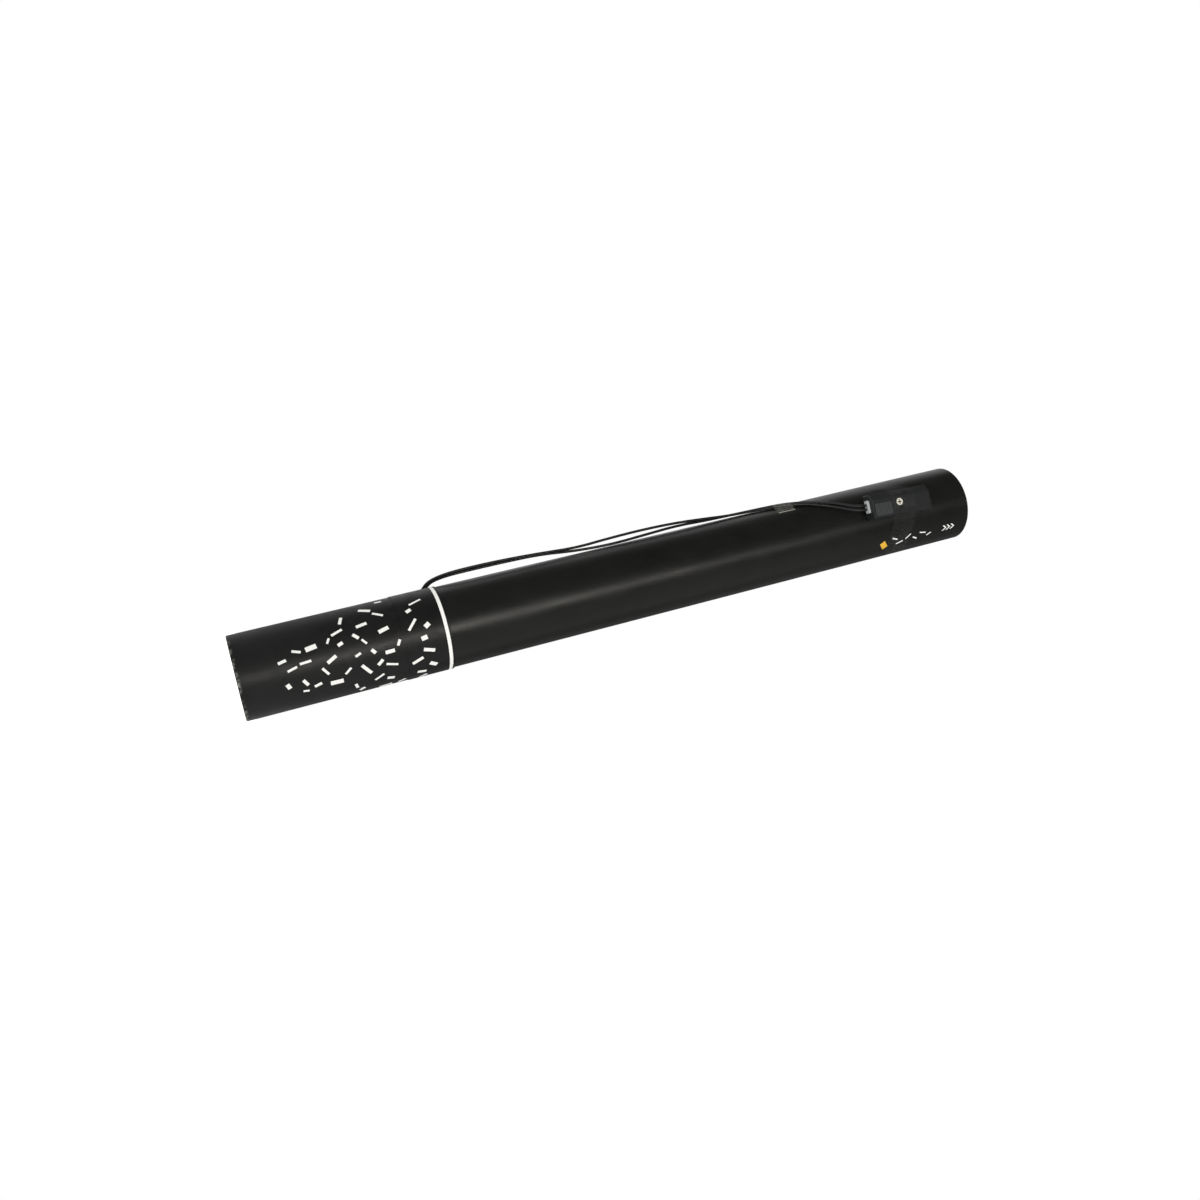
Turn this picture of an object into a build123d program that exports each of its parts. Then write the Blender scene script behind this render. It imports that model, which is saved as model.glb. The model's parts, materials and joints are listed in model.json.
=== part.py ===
from build123d import *
import os
from math import cos, pi, radians, sin, tan

# An electrically fired confetti cannon, standing on its base: +Z runs from the base to the muzzle,
# the connector faces -Y. Angles round the barrel are counted from -Y towards +X, in degrees.
# All lengths are in millimetres.

# Barrel tube and the printed sleeve round its foot
barrel_length = 500.0
barrel_diameter = 51.0
barrel_wall = 2.5
sleeve_foot = 0.3
sleeve_over_exit = 21.2
sleeve_thickness = 0.28
sleeve_hem_height = 28.2
glue_gap = 0.02

# Fits: pressed or glued parts, parts that slide, turning parts
glue_fit = 0.05
slide_fit = 0.3
turning_fit = 0.05
stem_fit = 0.08
rest_gap = 0.05

# Base cap
cap_floor = 2.5
cap_height = 16.0
cap_skirt = 2.0
cap_dish_radius = 13.0
cap_dish_depth = 1.0
cap_seat_height = 6.0
cap_seat_inset = 2.5
cap_seat_wall = 3.0

# Gas cylinder, whose neck follows its body, and the card spacer that fills the bore round it
can_wall = 1.2
can_body_height = 65.5
can_shoulder_height = 10.0
can_neck_height = 12.0
can_land_share = 11.2 / 19
can_neck_share = 8 / 19
can_bore_share = 6.05 / 19
can_base_round = 5.0
can_shoulder_round = 4.0
spacer_bottom = 20.0
spacer_height = 46.0
spacer_wall = 3.65
spacer_fit = 0.15
neck_ring_section = 1.0

# Trigger housing
housing_wall = 2.1
housing_skirt_drop = 6.0
housing_height = 41.0
web_thickness = 4.0
web_over_neck = 1.0
collar_wall = 3.4
collar_fit = 0.1
cage_post_count = 3
cage_post_width = 3.2
cage_post_depth = 1.8
cage_gap = 0.4
cage_height = 8.0
cage_roof = 2.5
cage_post_turn = 90.0
lug_length = 8.0
lug_thickness = 2.5

# Valve plug and its ring
plunger_fit = 0.1
plunger_depth = 9.0
plunger_flange_land = 0.95
plunger_flange = 1.6
stem_radius = 2.5
stem_top_over_cage = 1.5
valve_ring_section = 0.7
valve_ring_drop = 3.9
valve_ring_groove = 1.0

# Hold-down lever and its pin
lever_pivot_out = 1.8
lever_width = 7.0
lever_thickness = 3.0
lever_knuckle_radius = 3.2
lever_tip_width = 5.0
lever_tip_run = 4.0
lever_tip_over = 2.6
lever_groove = 1.8
lever_side_gap = 0.3
pin_radius = 1.5
pin_overhang = 0.5

# Fusible thread, its anchor and the heater
thread_to_wall = 7.85
thread_radius = 0.4
thread_gap = 0.05
anchor_height = 5.0
anchor_flat = 1.4
anchor_post = 2.0
anchor_outer_gap = 1.2
anchor_inner_gap = 1.2
anchor_inner_share = 5 / 11
heater_radius = 1.6
heater_length = 9.0
heater_gap = 0.1
heater_cradle = 0.8
heater_band = 1.4
heater_band_rise = 0.15
heater_lead_radius = 0.45
heater_lead_out = 2.1
heater_lead_sweep = 2.1
heater_lead_swell = 0.3
heater_lead_turn = 0.7
heater_lead_near = 1.8

# Exit of the lead through the barrel
exit_angle = -106.0
exit_over_heater = 0.9
exit_hole_radius = 2.6
seal_radius = 2.5
seal_inside = 1.4
boot_width = 5.6
boot_length = 6.6
boot_lift = 2.2
boot_round = 0.8
boot_root = 0.6

# Pusher and the charge of confetti slips
pusher_height = 10.0
pusher_floor = 2.5
pusher_rim = 1.5
pad_height = 10.5
pad_fit = 0.2
pack_count = 6
slip_width = 17.0
pack_fit = 0.6
charge_slack = 21.3

# Muzzle disc
muzzle_recess = 2.0
muzzle_cap_height = 8.0
muzzle_cap_round = 0.8

# Two-pole connector
plug_length = 45.6
plug_width = 17.0
plug_bevel_width = 4.4
plug_offset = 7.2
plug_roll = 10.0
plug_thickness = 10.6
plug_bevel = 3.5
plug_round = 0.7
plug_to_muzzle = 35.8
plug_skew = 3.0
plug_seat_gap = 0.05
plug_shell = 1.6
plug_room_rear = 3.0
plug_room_wall = 1.9
plug_room_shoulder = 0.9
plug_roof_inset = 0.9
socket_side = 2.3
socket_wall = 1.4
socket_depth_share = 12 / 45.6
carrier_depth = 4.5
carrier_fit = 0.1
grip_to_screw = 4.5
grip_width = 8.4
grip_offset = 3.0
grip_rise = 0.6
grip_from_rear = 1.4
grip_round = 0.5
grip_rib_count = 6
grip_rib_width = 0.8
grip_rib_rise = 0.3
contact_pitch = 6.6
contact_radius = 1.2
contact_root_radius = 1.45
contact_inset = 2.5
contact_tip = 0.4
terminal_roof_gap = 1.2
terminal_length = 3.7
terminal_screw_radius = 0.95
terminal_screw_depth = 2.4
terminal_head_radius = 1.2
terminal_head = 0.9
screw_to_terminal = 4.1
screw_radius = 1.45
screw_bore = 1.6
screw_head_radius = 2.4
screw_head = 1.7
screw_sink = 0.2
screw_pocket_radius = 2.7
screw_tip = 0.6
cross_width = 0.8
cross_length = 3.0
cross_depth = 0.9
slot_depth = 0.4
nut_flats = 5.5
nut_thickness = 2.4
nut_fit = 0.1
nut_sink = 0.3
thread_fit = 0.02
boss_radius_low = 3.9
boss_radius_high = 3.6
clamp_width = 8.5
clamp_thickness = 3.6
clamp_offset = 0.4
clamp_out = 1.6
clamp_in = 4.4
clamp_fit = 0.1
clamp_round = 0.6
core_spread = 4.8
core_radius = 0.8
core_lead_share = 2.4 / 12.7
core_run_share = 8 / 12.7

# Two single wires of the lead. Each station: share of the way up from the exit to the connector,
# angle round the barrel, height of the wire's centre over the barrel
wire_diameter = 1.75
wire_pitch = 2.8
wire_exit_split = 2.1
wire_exit_lift = 1.6
wire_a_exit_run = 8.2
wire_b_exit_run = 9.7
wire_entry_run = 6.5
corner_share = 0.45
wire_a_stations = [
    (0.0435, -90.0, 3.9),
    (0.0649, -82.0, 5.5),
    (0.0945, -76.5, 6.5),
    (0.1428, -73.5, 6.9),
    (0.2146, -72.0, 6.7),
    (0.2941, -70.0, 5.6),
    (0.3698, -70.0, 3.9),
    (0.4484, -70.6, 5.0),
    (0.5280, -70.0, 5.5),
    (0.6067, -70.0, 4.9),
    (0.6726, -68.0, 4.3),
    (0.7317, -67.0, 2.4),
    (0.7842, -65.5, 1.35),
    (0.8269, -60.0, 1.25),
    (0.8638, -54.0, 1.25),
    (0.8997, -45.5, 1.25),
    (0.9326, -33.7, 1.25),
    (0.9657, -21.0, 1.9),
]
wire_b_stations = [
    (0.0487, -94.0, 3.4),
    (0.0682, -86.0, 4.6),
    (0.0961, -79.0, 5.0),
    (0.1428, -75.0, 4.9),
    (0.2146, -75.6, 5.0),
    (0.2941, -74.5, 4.8),
    (0.3698, -75.0, 1.9),
    (0.4484, -66.0, 1.1),
    (0.5280, -68.0, 2.0),
    (0.6067, -70.5, 2.9),
    (0.6726, -71.0, 2.5),
    (0.7317, -71.6, 1.6),
    (0.7842, -71.5, 1.3),
    (0.8269, -68.0, 1.25),
    (0.8638, -62.0, 1.25),
    (0.8997, -52.0, 1.25),
    (0.9326, -40.5, 1.25),
    (0.9657, -28.5, 1.9),
]

# Clear tape over the lead and over the connector
tape_thickness = 0.2
tape_gap = 0.08
lead_tape_width = 12.5
lead_tape_to_plug = 46.0
lead_tape_front = -40.0
lead_tape_crest = (-48.0, -70.0)
lead_tape_foot = (-44.0, -75.0)
lead_tape_back = -125.0
lead_tape_crest_gap = 0.12
plug_tape_width = 17.5
plug_tape_from_rear = 15.6
plug_tape_foot = 48.0
plug_tape_end = 80.0
plug_tape_slack = 0.75
plug_tape_lean = 0.6

# Derived sizes
barrel_radius = barrel_diameter / 2
bore_radius = barrel_radius - barrel_wall
glued_radius = bore_radius - glue_fit
sliding_radius = bore_radius - slide_fit
sleeve_inner = barrel_radius + glue_gap
sleeve_radius = sleeve_inner + sleeve_thickness
hem_radius = sleeve_radius + sleeve_thickness
housing_inner = glued_radius - housing_wall
can_radius = glued_radius - spacer_fit * 2 - spacer_wall
can_land_radius = can_radius * can_land_share
can_neck_radius = can_radius * can_neck_share
can_bore_radius = can_radius * can_bore_share
cap_seat_outer = can_radius - cap_seat_inset
cap_seat_inner = cap_seat_outer - cap_seat_wall
collar_radius = can_neck_radius + collar_fit + collar_wall
plunger_flange_radius = can_bore_radius + plunger_flange_land
cage_inner_radius = plunger_flange_radius + cage_gap
cage_outer_radius = cage_inner_radius + cage_post_depth
lever_pivot_x = cage_outer_radius + lever_pivot_out
thread_x = housing_inner - thread_to_wall
lever_tip_start = thread_x - lever_tip_run
lever_tip_length = thread_x + lever_tip_over
can_shoulder_z = cap_seat_height + can_body_height
can_land_z = can_shoulder_z + can_shoulder_height
can_top_z = can_land_z + can_neck_height
collar_bottom_z = can_land_z + neck_ring_section * 2
web_top_z = can_top_z + web_over_neck
web_bottom_z = web_top_z - web_thickness
housing_bottom_z = web_bottom_z - housing_skirt_drop
housing_top_z = housing_bottom_z + housing_height
cage_top_z = web_top_z + cage_height + cage_roof
stem_top_z = cage_top_z + stem_top_over_cage
lever_bottom_z = stem_top_z + rest_gap
lever_pivot_z = lever_bottom_z + lever_thickness / 2
lever_top_z = lever_bottom_z + lever_thickness
tip_half = lever_tip_width / 2
loop_radius = tip_half + thread_radius + thread_gap
loop_top_z = lever_top_z - tip_half
loop_bottom_z = web_top_z + anchor_height
anchor_top_z = loop_bottom_z + anchor_flat
heater_x = thread_x + thread_radius + heater_gap + heater_radius
heater_z = anchor_top_z + heater_radius + heater_gap
exit_height = heater_z + exit_over_heater
sleeve_height = exit_height + sleeve_over_exit
hem_z = sleeve_height - sleeve_hem_height
pusher_bottom_z = housing_top_z + rest_gap
pad_bottom_z = pusher_bottom_z + pusher_floor
charge_bottom_z = pad_bottom_z + pad_height + rest_gap
cap_top_z = barrel_length - muzzle_recess
cap_bottom_z = cap_top_z - muzzle_cap_height
slip_length = (cap_bottom_z - charge_slack - charge_bottom_z) / pack_count
plug_half = plug_length / 2
plug_mid = plug_thickness / 2
plug_z = barrel_length - plug_to_muzzle - plug_half
plug_seat = barrel_radius + plug_seat_gap
plug_rear_z = plug_z - plug_half
trigger_turn = Rot(0, 0, exit_angle + 90)
plug_place = Rot(0, 0, plug_roll) * Pos(-plug_offset, -plug_seat, plug_z) * Rot(0, plug_skew, 0)

os.makedirs("parts", exist_ok=True)


def save(node, *solids):
    """Write one node, each of its solids kept apart."""
    shape = solids[0] if len(solids) == 1 else Compound(children=list(solids))
    export_step(shape, f"parts/{node}.step")


def turned(points):
    """Solid of revolution about Z from a closed outline of (radius, height) points."""
    outline = Plane.XZ * Polyline(*points, close=True)
    return revolve(make_face(outline), Axis.Z)


def ring(outer, inner, bottom, top):
    """Plain ring about Z."""
    return Pos(0, 0, bottom) * extrude(Circle(outer) - Circle(inner), amount=top - bottom)


def block(x_pair, y_pair, z_pair):
    """Box between three pairs of limits."""
    size = [pair[1] - pair[0] for pair in (x_pair, y_pair, z_pair)]
    middle = [(pair[1] + pair[0]) / 2 for pair in (x_pair, y_pair, z_pair)]
    return Pos(*middle) * Box(*size)


def rod_x(radius, x_pair, y, z):
    """Round bar along X."""
    length = x_pair[1] - x_pair[0]
    return Pos((x_pair[0] + x_pair[1]) / 2, y, z) * Rot(0, 90, 0) * Cylinder(radius, length)


def rod_y(radius, y_pair, x, z):
    """Round bar along Y."""
    length = y_pair[1] - y_pair[0]
    return Pos(x, (y_pair[0] + y_pair[1]) / 2, z) * Rot(90, 0, 0) * Cylinder(radius, length)


def around(angle, radius, z):
    """Point at an angle round the barrel."""
    return (radius * sin(radians(angle)), -radius * cos(radians(angle)), z)


def wire_path(points):
    """Straight runs joined by tangent arcs, each arc as wide as its shorter run allows."""
    radii = []
    for before, here, after in zip(points, points[1:], points[2:]):
        run_in = Vector(*here) - Vector(*before)
        run_out = Vector(*after) - Vector(*here)
        half_turn = radians(run_in.get_angle(run_out)) / 2
        radii.append(corner_share * min(run_in.length, run_out.length) / tan(half_turn))
    return FilletPolyline(*points, radius=radii), radii


def wire_along(path, radius):
    """Round wire swept along a path."""
    start = Plane(origin=path @ 0, z_dir=path % 0)
    return sweep(start * Circle(radius), path=path)


# Barrel: a plain tube with one small hole for the lead
exit_hole = trigger_turn * rod_x(exit_hole_radius, (-sleeve_radius * 2, 0), 0, exit_height)
barrel_tube = ring(barrel_radius, bore_radius, 0, barrel_length) - exit_hole
save("barrel_tube", barrel_tube)

# Printed sleeve glued round the foot of the barrel, doubled over at its upper end
label_sleeve = ring(sleeve_radius, sleeve_inner, sleeve_foot, hem_z)
label_sleeve += ring(hem_radius, sleeve_inner, hem_z, sleeve_height)
save("label_sleeve", label_sleeve - exit_hole)

# Base cap, glued in flush, with a raised seat for the gas cylinder
cap_inner = glued_radius - cap_skirt
base_cap = turned(
    [
        (0, cap_dish_depth),
        (cap_dish_radius, cap_dish_depth),
        (cap_dish_radius, 0),
        (glued_radius, 0),
        (glued_radius, cap_height),
        (cap_inner, cap_height),
        (cap_inner, cap_floor),
        (cap_seat_outer, cap_floor),
        (cap_seat_outer, cap_seat_height),
        (cap_seat_inner, cap_seat_height),
        (cap_seat_inner, cap_floor),
        (0, cap_floor),
    ]
)
save("base_cap", base_cap)

# Gas cylinder: drawn can with a conical shoulder and a thick neck
can_outer = turned(
    [
        (0, cap_seat_height),
        (can_radius, cap_seat_height),
        (can_radius, can_shoulder_z),
        (can_land_radius, can_land_z),
        (can_neck_radius, can_land_z),
        (can_neck_radius, can_top_z),
        (0, can_top_z),
    ]
)
can_rims = can_outer.edges().filter_by(GeomType.CIRCLE).group_by(Axis.Z)
can_outer = fillet(can_rims[0], can_base_round)
can_rims = can_outer.edges().filter_by(GeomType.CIRCLE)
can_outer = fillet(can_rims.group_by(SortBy.RADIUS)[-1].sort_by(Axis.Z)[-1], can_shoulder_round)
can_inner = turned(
    [
        (0, cap_seat_height + can_wall),
        (can_radius - can_wall, cap_seat_height + can_wall),
        (can_radius - can_wall, can_shoulder_z - can_wall),
        (can_land_radius - can_wall, can_land_z - can_wall * 2),
        (can_bore_radius, can_land_z - can_wall * 2),
        (can_bore_radius, can_top_z),
        (0, can_top_z),
    ]
)
can_rims = can_inner.edges().filter_by(GeomType.CIRCLE).group_by(Axis.Z)
can_inner = fillet(can_rims[0], can_base_round - can_wall)
save("gas_cylinder", can_outer - can_inner)

# Card spacer that keeps the cylinder in the middle of the bore
spacer_radius = can_radius + spacer_fit
spacer_top = spacer_bottom + spacer_height
save("cylinder_spacer", ring(glued_radius - spacer_fit, spacer_radius, spacer_bottom, spacer_top))

# Sealing ring between the cylinder's shoulder and the housing's collar
neck_ring_radius = can_neck_radius + neck_ring_section + glue_fit
neck_ring = Torus(neck_ring_radius, neck_ring_section - glue_gap)
save("neck_ring", Pos(0, 0, can_land_z + neck_ring_section) * neck_ring)

# Trigger housing: cup wall, web, neck collar, valve cage, lever lugs, thread anchor and heater cradle
housing = ring(glued_radius, housing_inner, housing_bottom_z, housing_top_z)
housing += ring(glued_radius, can_neck_radius + collar_fit, web_bottom_z, web_top_z)
housing += ring(collar_radius, can_neck_radius + collar_fit, collar_bottom_z, web_top_z)
cage_roof_z = cage_top_z - cage_roof
for index in range(cage_post_count):
    post = block(
        (cage_inner_radius, cage_outer_radius),
        (-cage_post_width / 2, cage_post_width / 2),
        (can_top_z + rest_gap, cage_roof_z + cage_roof / 2),
    )
    housing += Rot(0, 0, cage_post_turn + index * 360 / cage_post_count) * post
housing += ring(cage_outer_radius, stem_radius + stem_fit, cage_roof_z, cage_top_z)
lug_inner = lever_width / 2 + lever_side_gap
lug_outer = lug_inner + lug_thickness
lug_x = (lever_pivot_x - lug_length / 2, lever_pivot_x + lug_length / 2)
for side in (-1, 1):
    lug_y = tuple(sorted((side * lug_inner, side * lug_outer)))
    housing += block(lug_x, lug_y, (web_bottom_z, lever_pivot_z))
    housing += rod_y(lug_length / 2, lug_y, lever_pivot_x, lever_pivot_z)
pin_half = lug_outer + pin_overhang
housing -= rod_y(pin_radius + thread_fit, (-pin_half, pin_half), lever_pivot_x, lever_pivot_z)
outer_post = (-thread_x - anchor_outer_gap - anchor_post, -thread_x - anchor_outer_gap)
inner_room = thread_x - anchor_inner_gap - cage_inner_radius
inner_post_x = -thread_x + anchor_inner_gap
inner_post = (inner_post_x, inner_post_x + inner_room * anchor_inner_share)
beam_x = (outer_post[0], inner_post[1])
beam_band = block(beam_x, (-tip_half, tip_half), (web_top_z, anchor_top_z))
housing += rod_x(tip_half, beam_x, 0, loop_bottom_z) & beam_band
housing += block(inner_post, (-tip_half, tip_half), (web_bottom_z, anchor_top_z))
housing += block(outer_post, (-tip_half, tip_half), (web_bottom_z, anchor_top_z + heater_cradle))
heater_half = heater_length / 2
housing -= rod_y(heater_radius + heater_gap / 2, (-heater_half, heater_half), -heater_x, heater_z)
save("trigger_housing", trigger_turn * housing - exit_hole)

# Valve plug: plunger in the cylinder's neck, flange on the neck and a round-tipped stem
plunger_radius = can_bore_radius - plunger_fit
flange_bottom_z = can_top_z + rest_gap
flange_top_z = flange_bottom_z + plunger_flange
plunger_bottom_z = can_top_z - plunger_depth
valve_ring_z = can_top_z - valve_ring_drop
groove_radius = plunger_radius - valve_ring_section * 2 + plunger_fit
groove_low_z = valve_ring_z - valve_ring_groove
groove_high_z = valve_ring_z + valve_ring_groove
valve_plug = turned(
    [
        (0, plunger_bottom_z),
        (plunger_radius, plunger_bottom_z),
        (plunger_radius, groove_low_z),
        (groove_radius, groove_low_z),
        (groove_radius, groove_high_z),
        (plunger_radius, groove_high_z),
        (plunger_radius, flange_bottom_z),
        (plunger_flange_radius, flange_bottom_z),
        (plunger_flange_radius, flange_top_z),
        (stem_radius, flange_top_z),
        (stem_radius, stem_top_z - stem_radius),
        (0, stem_top_z - stem_radius),
    ]
)
valve_plug += Pos(0, 0, stem_top_z - stem_radius) * Sphere(stem_radius)
save("valve_plug", valve_plug)
valve_ring_radius = groove_radius + valve_ring_section
save("valve_ring", Pos(0, 0, valve_ring_z) * Torus(valve_ring_radius, valve_ring_section - glue_gap))

# Hold-down lever: bar over the stem, knuckle at the pin, narrow grooved tip for the thread
lever_z = (lever_bottom_z, lever_top_z)
lever = block((-lever_tip_start, lever_pivot_x), (-lever_width / 2, lever_width / 2), lever_z)
lever += block((-lever_tip_length, -lever_tip_start), (-tip_half, tip_half), lever_z)
lever += rod_y(lever_knuckle_radius, (-lever_width / 2, lever_width / 2), lever_pivot_x, lever_pivot_z)
lever -= rod_y(pin_radius + turning_fit, (-pin_half, pin_half), lever_pivot_x, lever_pivot_z)
groove_x = (-thread_x - lever_groove / 2, -thread_x + lever_groove / 2)
groove_z = (loop_top_z, lever_top_z + lever_thickness)
groove_band = block(groove_x, (-lever_tip_width, lever_tip_width), groove_z)
lever -= groove_band - rod_x(tip_half, groove_x, 0, loop_top_z)
save("release_lever", trigger_turn * lever)
save("lever_pin", trigger_turn * rod_y(pin_radius, (-pin_half, pin_half), lever_pivot_x, lever_pivot_z))

# Fusible thread: a loop over the lever's tip and under the anchor bar
thread_disc = Plane.XY * Pos(-thread_x, loop_radius) * Circle(thread_radius)
loop_axis = Axis((-thread_x, 0, 0), (1, 0, 0))
half_loop = revolve(thread_disc, loop_axis, 180)
strand = Pos(-thread_x, loop_radius, loop_bottom_z) * extrude(
    Circle(thread_radius), amount=loop_top_z - loop_bottom_z
)
thread = Pos(0, 0, loop_top_z) * half_loop
thread += Pos(0, 0, loop_bottom_z) * mirror(half_loop, Plane.XY)
thread += strand
thread += mirror(strand, Plane.XZ)
save("fuse_thread", trigger_turn * thread)

# Heater resistor across the thread, and its two leads to the seal in the wall
heater = rod_y(heater_radius, (-heater_half, heater_half), -heater_x, heater_z)
band_radius = heater_radius + heater_band_rise
for side in (-1, 1):
    band_y = tuple(sorted((side * heater_half, side * (heater_half - heater_band))))
    heater += rod_y(band_radius, band_y, -heater_x, heater_z)
save("fuse_heater", trigger_turn * heater)
seal_inner = housing_inner - seal_inside
lead_out = heater_half + heater_lead_out
lead_rise = exit_height - heater_z
lead_near = seal_inner - heater_lead_near
heater_leads = []
for side in (-1, 1):
    lead_points = [
        (-heater_x, side * heater_half, heater_z),
        (-heater_x, side * lead_out, heater_z),
        (-heater_x - heater_lead_sweep, side * (lead_out + heater_lead_swell), heater_z + lead_rise / 2),
        (-lead_near, side * wire_pitch / 2, exit_height),
        (-seal_inner, side * wire_pitch / 2, exit_height),
    ]
    lead_path = FilletPolyline(*lead_points, radius=heater_lead_turn)
    heater_leads.append(trigger_turn * wire_along(lead_path, heater_lead_radius))
save("heater_leads", *heater_leads)

# Rubber seal through the wall, with a low boot outside that turns the wires up the barrel
boot_foot = hem_radius + glue_gap
boot_top_z = exit_height + boot_length / 2
boot = block(
    (-boot_foot - boot_lift, -boot_foot + boot_root * 2),
    (-boot_width / 2, boot_width / 2),
    (boot_top_z - boot_length, boot_top_z),
)
boot = fillet(boot.faces().sort_by(Axis.X)[0].edges(), boot_round)
boot -= Pos(0, 0, boot_top_z - boot_length) * extrude(Circle(boot_foot), amount=boot_length)
seal = boot + rod_x(seal_radius, (-boot_foot - boot_root, -seal_inner), 0, exit_height)
save("wire_seal", trigger_turn * seal)

# Pusher cup on the housing's rim, with a soft pad in it
pusher_top_z = pusher_bottom_z + pusher_height
pusher_cup = turned(
    [
        (0, pusher_bottom_z),
        (sliding_radius, pusher_bottom_z),
        (sliding_radius, pusher_top_z),
        (sliding_radius - pusher_rim, pusher_top_z),
        (sliding_radius - pusher_rim, pad_bottom_z),
        (0, pad_bottom_z),
    ]
)
save("pusher_cup", pusher_cup)
pad_radius = sliding_radius - pusher_rim - pad_fit
save("pusher_pad", Pos(0, 0, pad_bottom_z) * extrude(Circle(pad_radius), amount=pad_height))

# Confetti: packs of upright slips, a middle stack across the bore and a stack on either side of it
pack_radius = bore_radius - pack_fit
slip_half = slip_width / 2
stack_reach = (pack_radius**2 - slip_half**2) ** 0.5
for index in range(pack_count):
    pack_z = (charge_bottom_z + index * slip_length, charge_bottom_z + (index + 1) * slip_length)
    stacks = [
        block((-slip_half, slip_half), (-stack_reach, stack_reach), pack_z),
        block((-stack_reach, -slip_half), (-slip_half, slip_half), pack_z),
        block((slip_half, stack_reach), (-slip_half, slip_half), pack_z),
    ]
    save(f"confetti_pack_{index + 1}", *stacks)

# Muzzle disc, a soft plug set just inside the rim
muzzle_disc = Pos(0, 0, cap_bottom_z) * extrude(Circle(sliding_radius), amount=muzzle_cap_height)
save("muzzle_disc", chamfer(muzzle_disc.edges(), muzzle_cap_round))

# Connector. In its own frame: X across, -Y outward from the barrel, Z towards the muzzle
plug_half_width = plug_width / 2
face_edge = plug_half_width - plug_bevel_width
plug_room_half = plug_half_width - plug_room_wall
roof_edge = face_edge - plug_roof_inset
socket_width = plug_width - socket_side * 2
socket_height = plug_thickness - socket_wall * 2
socket_depth = plug_length * socket_depth_share
plug_room_length = plug_length - plug_room_rear - socket_depth - carrier_depth
side_height = plug_thickness - plug_bevel
plug_section = Polyline(
    (-plug_half_width, 0),
    (plug_half_width, 0),
    (plug_half_width, -plug_thickness),
    (-face_edge, -plug_thickness),
    (-plug_half_width, -side_height),
    close=True,
)
plug_block = Pos(0, 0, -plug_half) * extrude(make_face(plug_section), amount=plug_length)
plug_block = fillet(plug_block.edges(), plug_round)
room_rear = -plug_half + plug_room_rear
roof_depth = plug_thickness - plug_shell
room_shoulder = plug_mid + plug_room_shoulder
room_section = Polyline(
    (-plug_room_half, -plug_shell),
    (plug_room_half, -plug_shell),
    (plug_room_half, -roof_depth),
    (-roof_edge, -roof_depth),
    (-plug_room_half, -room_shoulder),
    close=True,
)
room = Pos(0, 0, room_rear) * extrude(make_face(room_section), amount=plug_room_length)


def pill(width, height, bottom, top):
    """Round-ended bar along Z about the connector's middle plane."""
    outline = SlotOverall(width, height)
    return Pos(0, -plug_mid, bottom) * extrude(outline, amount=top - bottom)


def outward(x, height, z):
    """Place on the connector whose local Z points out from the barrel."""
    return Pos(x, -height, z) * Rot(90, 0, 0)


socket_back = plug_half - socket_depth
carrier_back = socket_back - carrier_depth
socket = pill(socket_width, socket_height, carrier_back, plug_half)
terminal_front = carrier_back
terminal_rear = terminal_front - terminal_length
screw_z = terminal_rear - screw_to_terminal
screw_seat = plug_thickness - screw_sink - screw_head
low_boss = outward(0, 0, screw_z) * extrude(Circle(boss_radius_low), amount=plug_mid)
high_boss_rise = plug_mid - plug_shell / 2
high_boss = outward(0, plug_mid, screw_z) * extrude(Circle(boss_radius_high), amount=high_boss_rise)
shaft_hole = outward(0, 0, screw_z) * extrude(Circle(screw_bore), amount=plug_thickness)
head_hole = outward(0, screw_seat, screw_z) * extrude(Circle(screw_pocket_radius), amount=screw_head * 2)
nut_radius = nut_flats / 2 / cos(radians(30))
nut_hole = outward(0, 0, screw_z) * extrude(
    RegularPolygon(nut_radius + nut_fit, side_count=6), amount=nut_thickness + nut_sink
)
clamp_x = (-clamp_offset - clamp_width / 2, -clamp_offset + clamp_width / 2)
clamp_y = (-plug_mid - clamp_thickness / 2, -plug_mid + clamp_thickness / 2)
clamp_rear = -plug_half - clamp_out
clamp_front = -plug_half + clamp_in
window = block(
    (clamp_x[0] - clamp_fit, clamp_x[1] + clamp_fit),
    (clamp_y[0] - clamp_fit, clamp_y[1] + clamp_fit),
    (clamp_rear, room_rear + clamp_fit),
)
below = block((-plug_width, plug_width), (-plug_mid, 0), (-plug_length, plug_length))
above = block((-plug_width, plug_width), (-plug_thickness, -plug_mid), (-plug_length, plug_length))
low_shell = (plug_block & below) - room - socket - window
low_shell = low_shell + (low_boss & plug_block) - shaft_hole - nut_hole
save("plug_base", plug_place * low_shell)
high_shell = (plug_block & above) - room - socket - window
high_shell = high_shell + high_boss - shaft_hole - head_hole
grip_rear = -plug_half + grip_from_rear
grip_length = screw_z - screw_pocket_radius - grip_to_screw - grip_rear
grip_z = grip_rear + grip_length / 2
grip_root = plug_thickness - plug_round
grip = outward(grip_offset, grip_root, grip_z) * extrude(
    RectangleRounded(grip_width, grip_length, grip_round * 2), amount=plug_round + grip_rise
)
high_shell += grip
rib_step = grip_length / (grip_rib_count + 1)
for index in range(grip_rib_count):
    rib_z = grip_rear + (index + 1) * rib_step
    high_shell += outward(grip_offset, plug_thickness, rib_z) * extrude(
        Rectangle(grip_width - grip_round * 2, grip_rib_width), amount=grip_rise + grip_rib_rise
    )
save("plug_cover", plug_place * high_shell)

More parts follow.
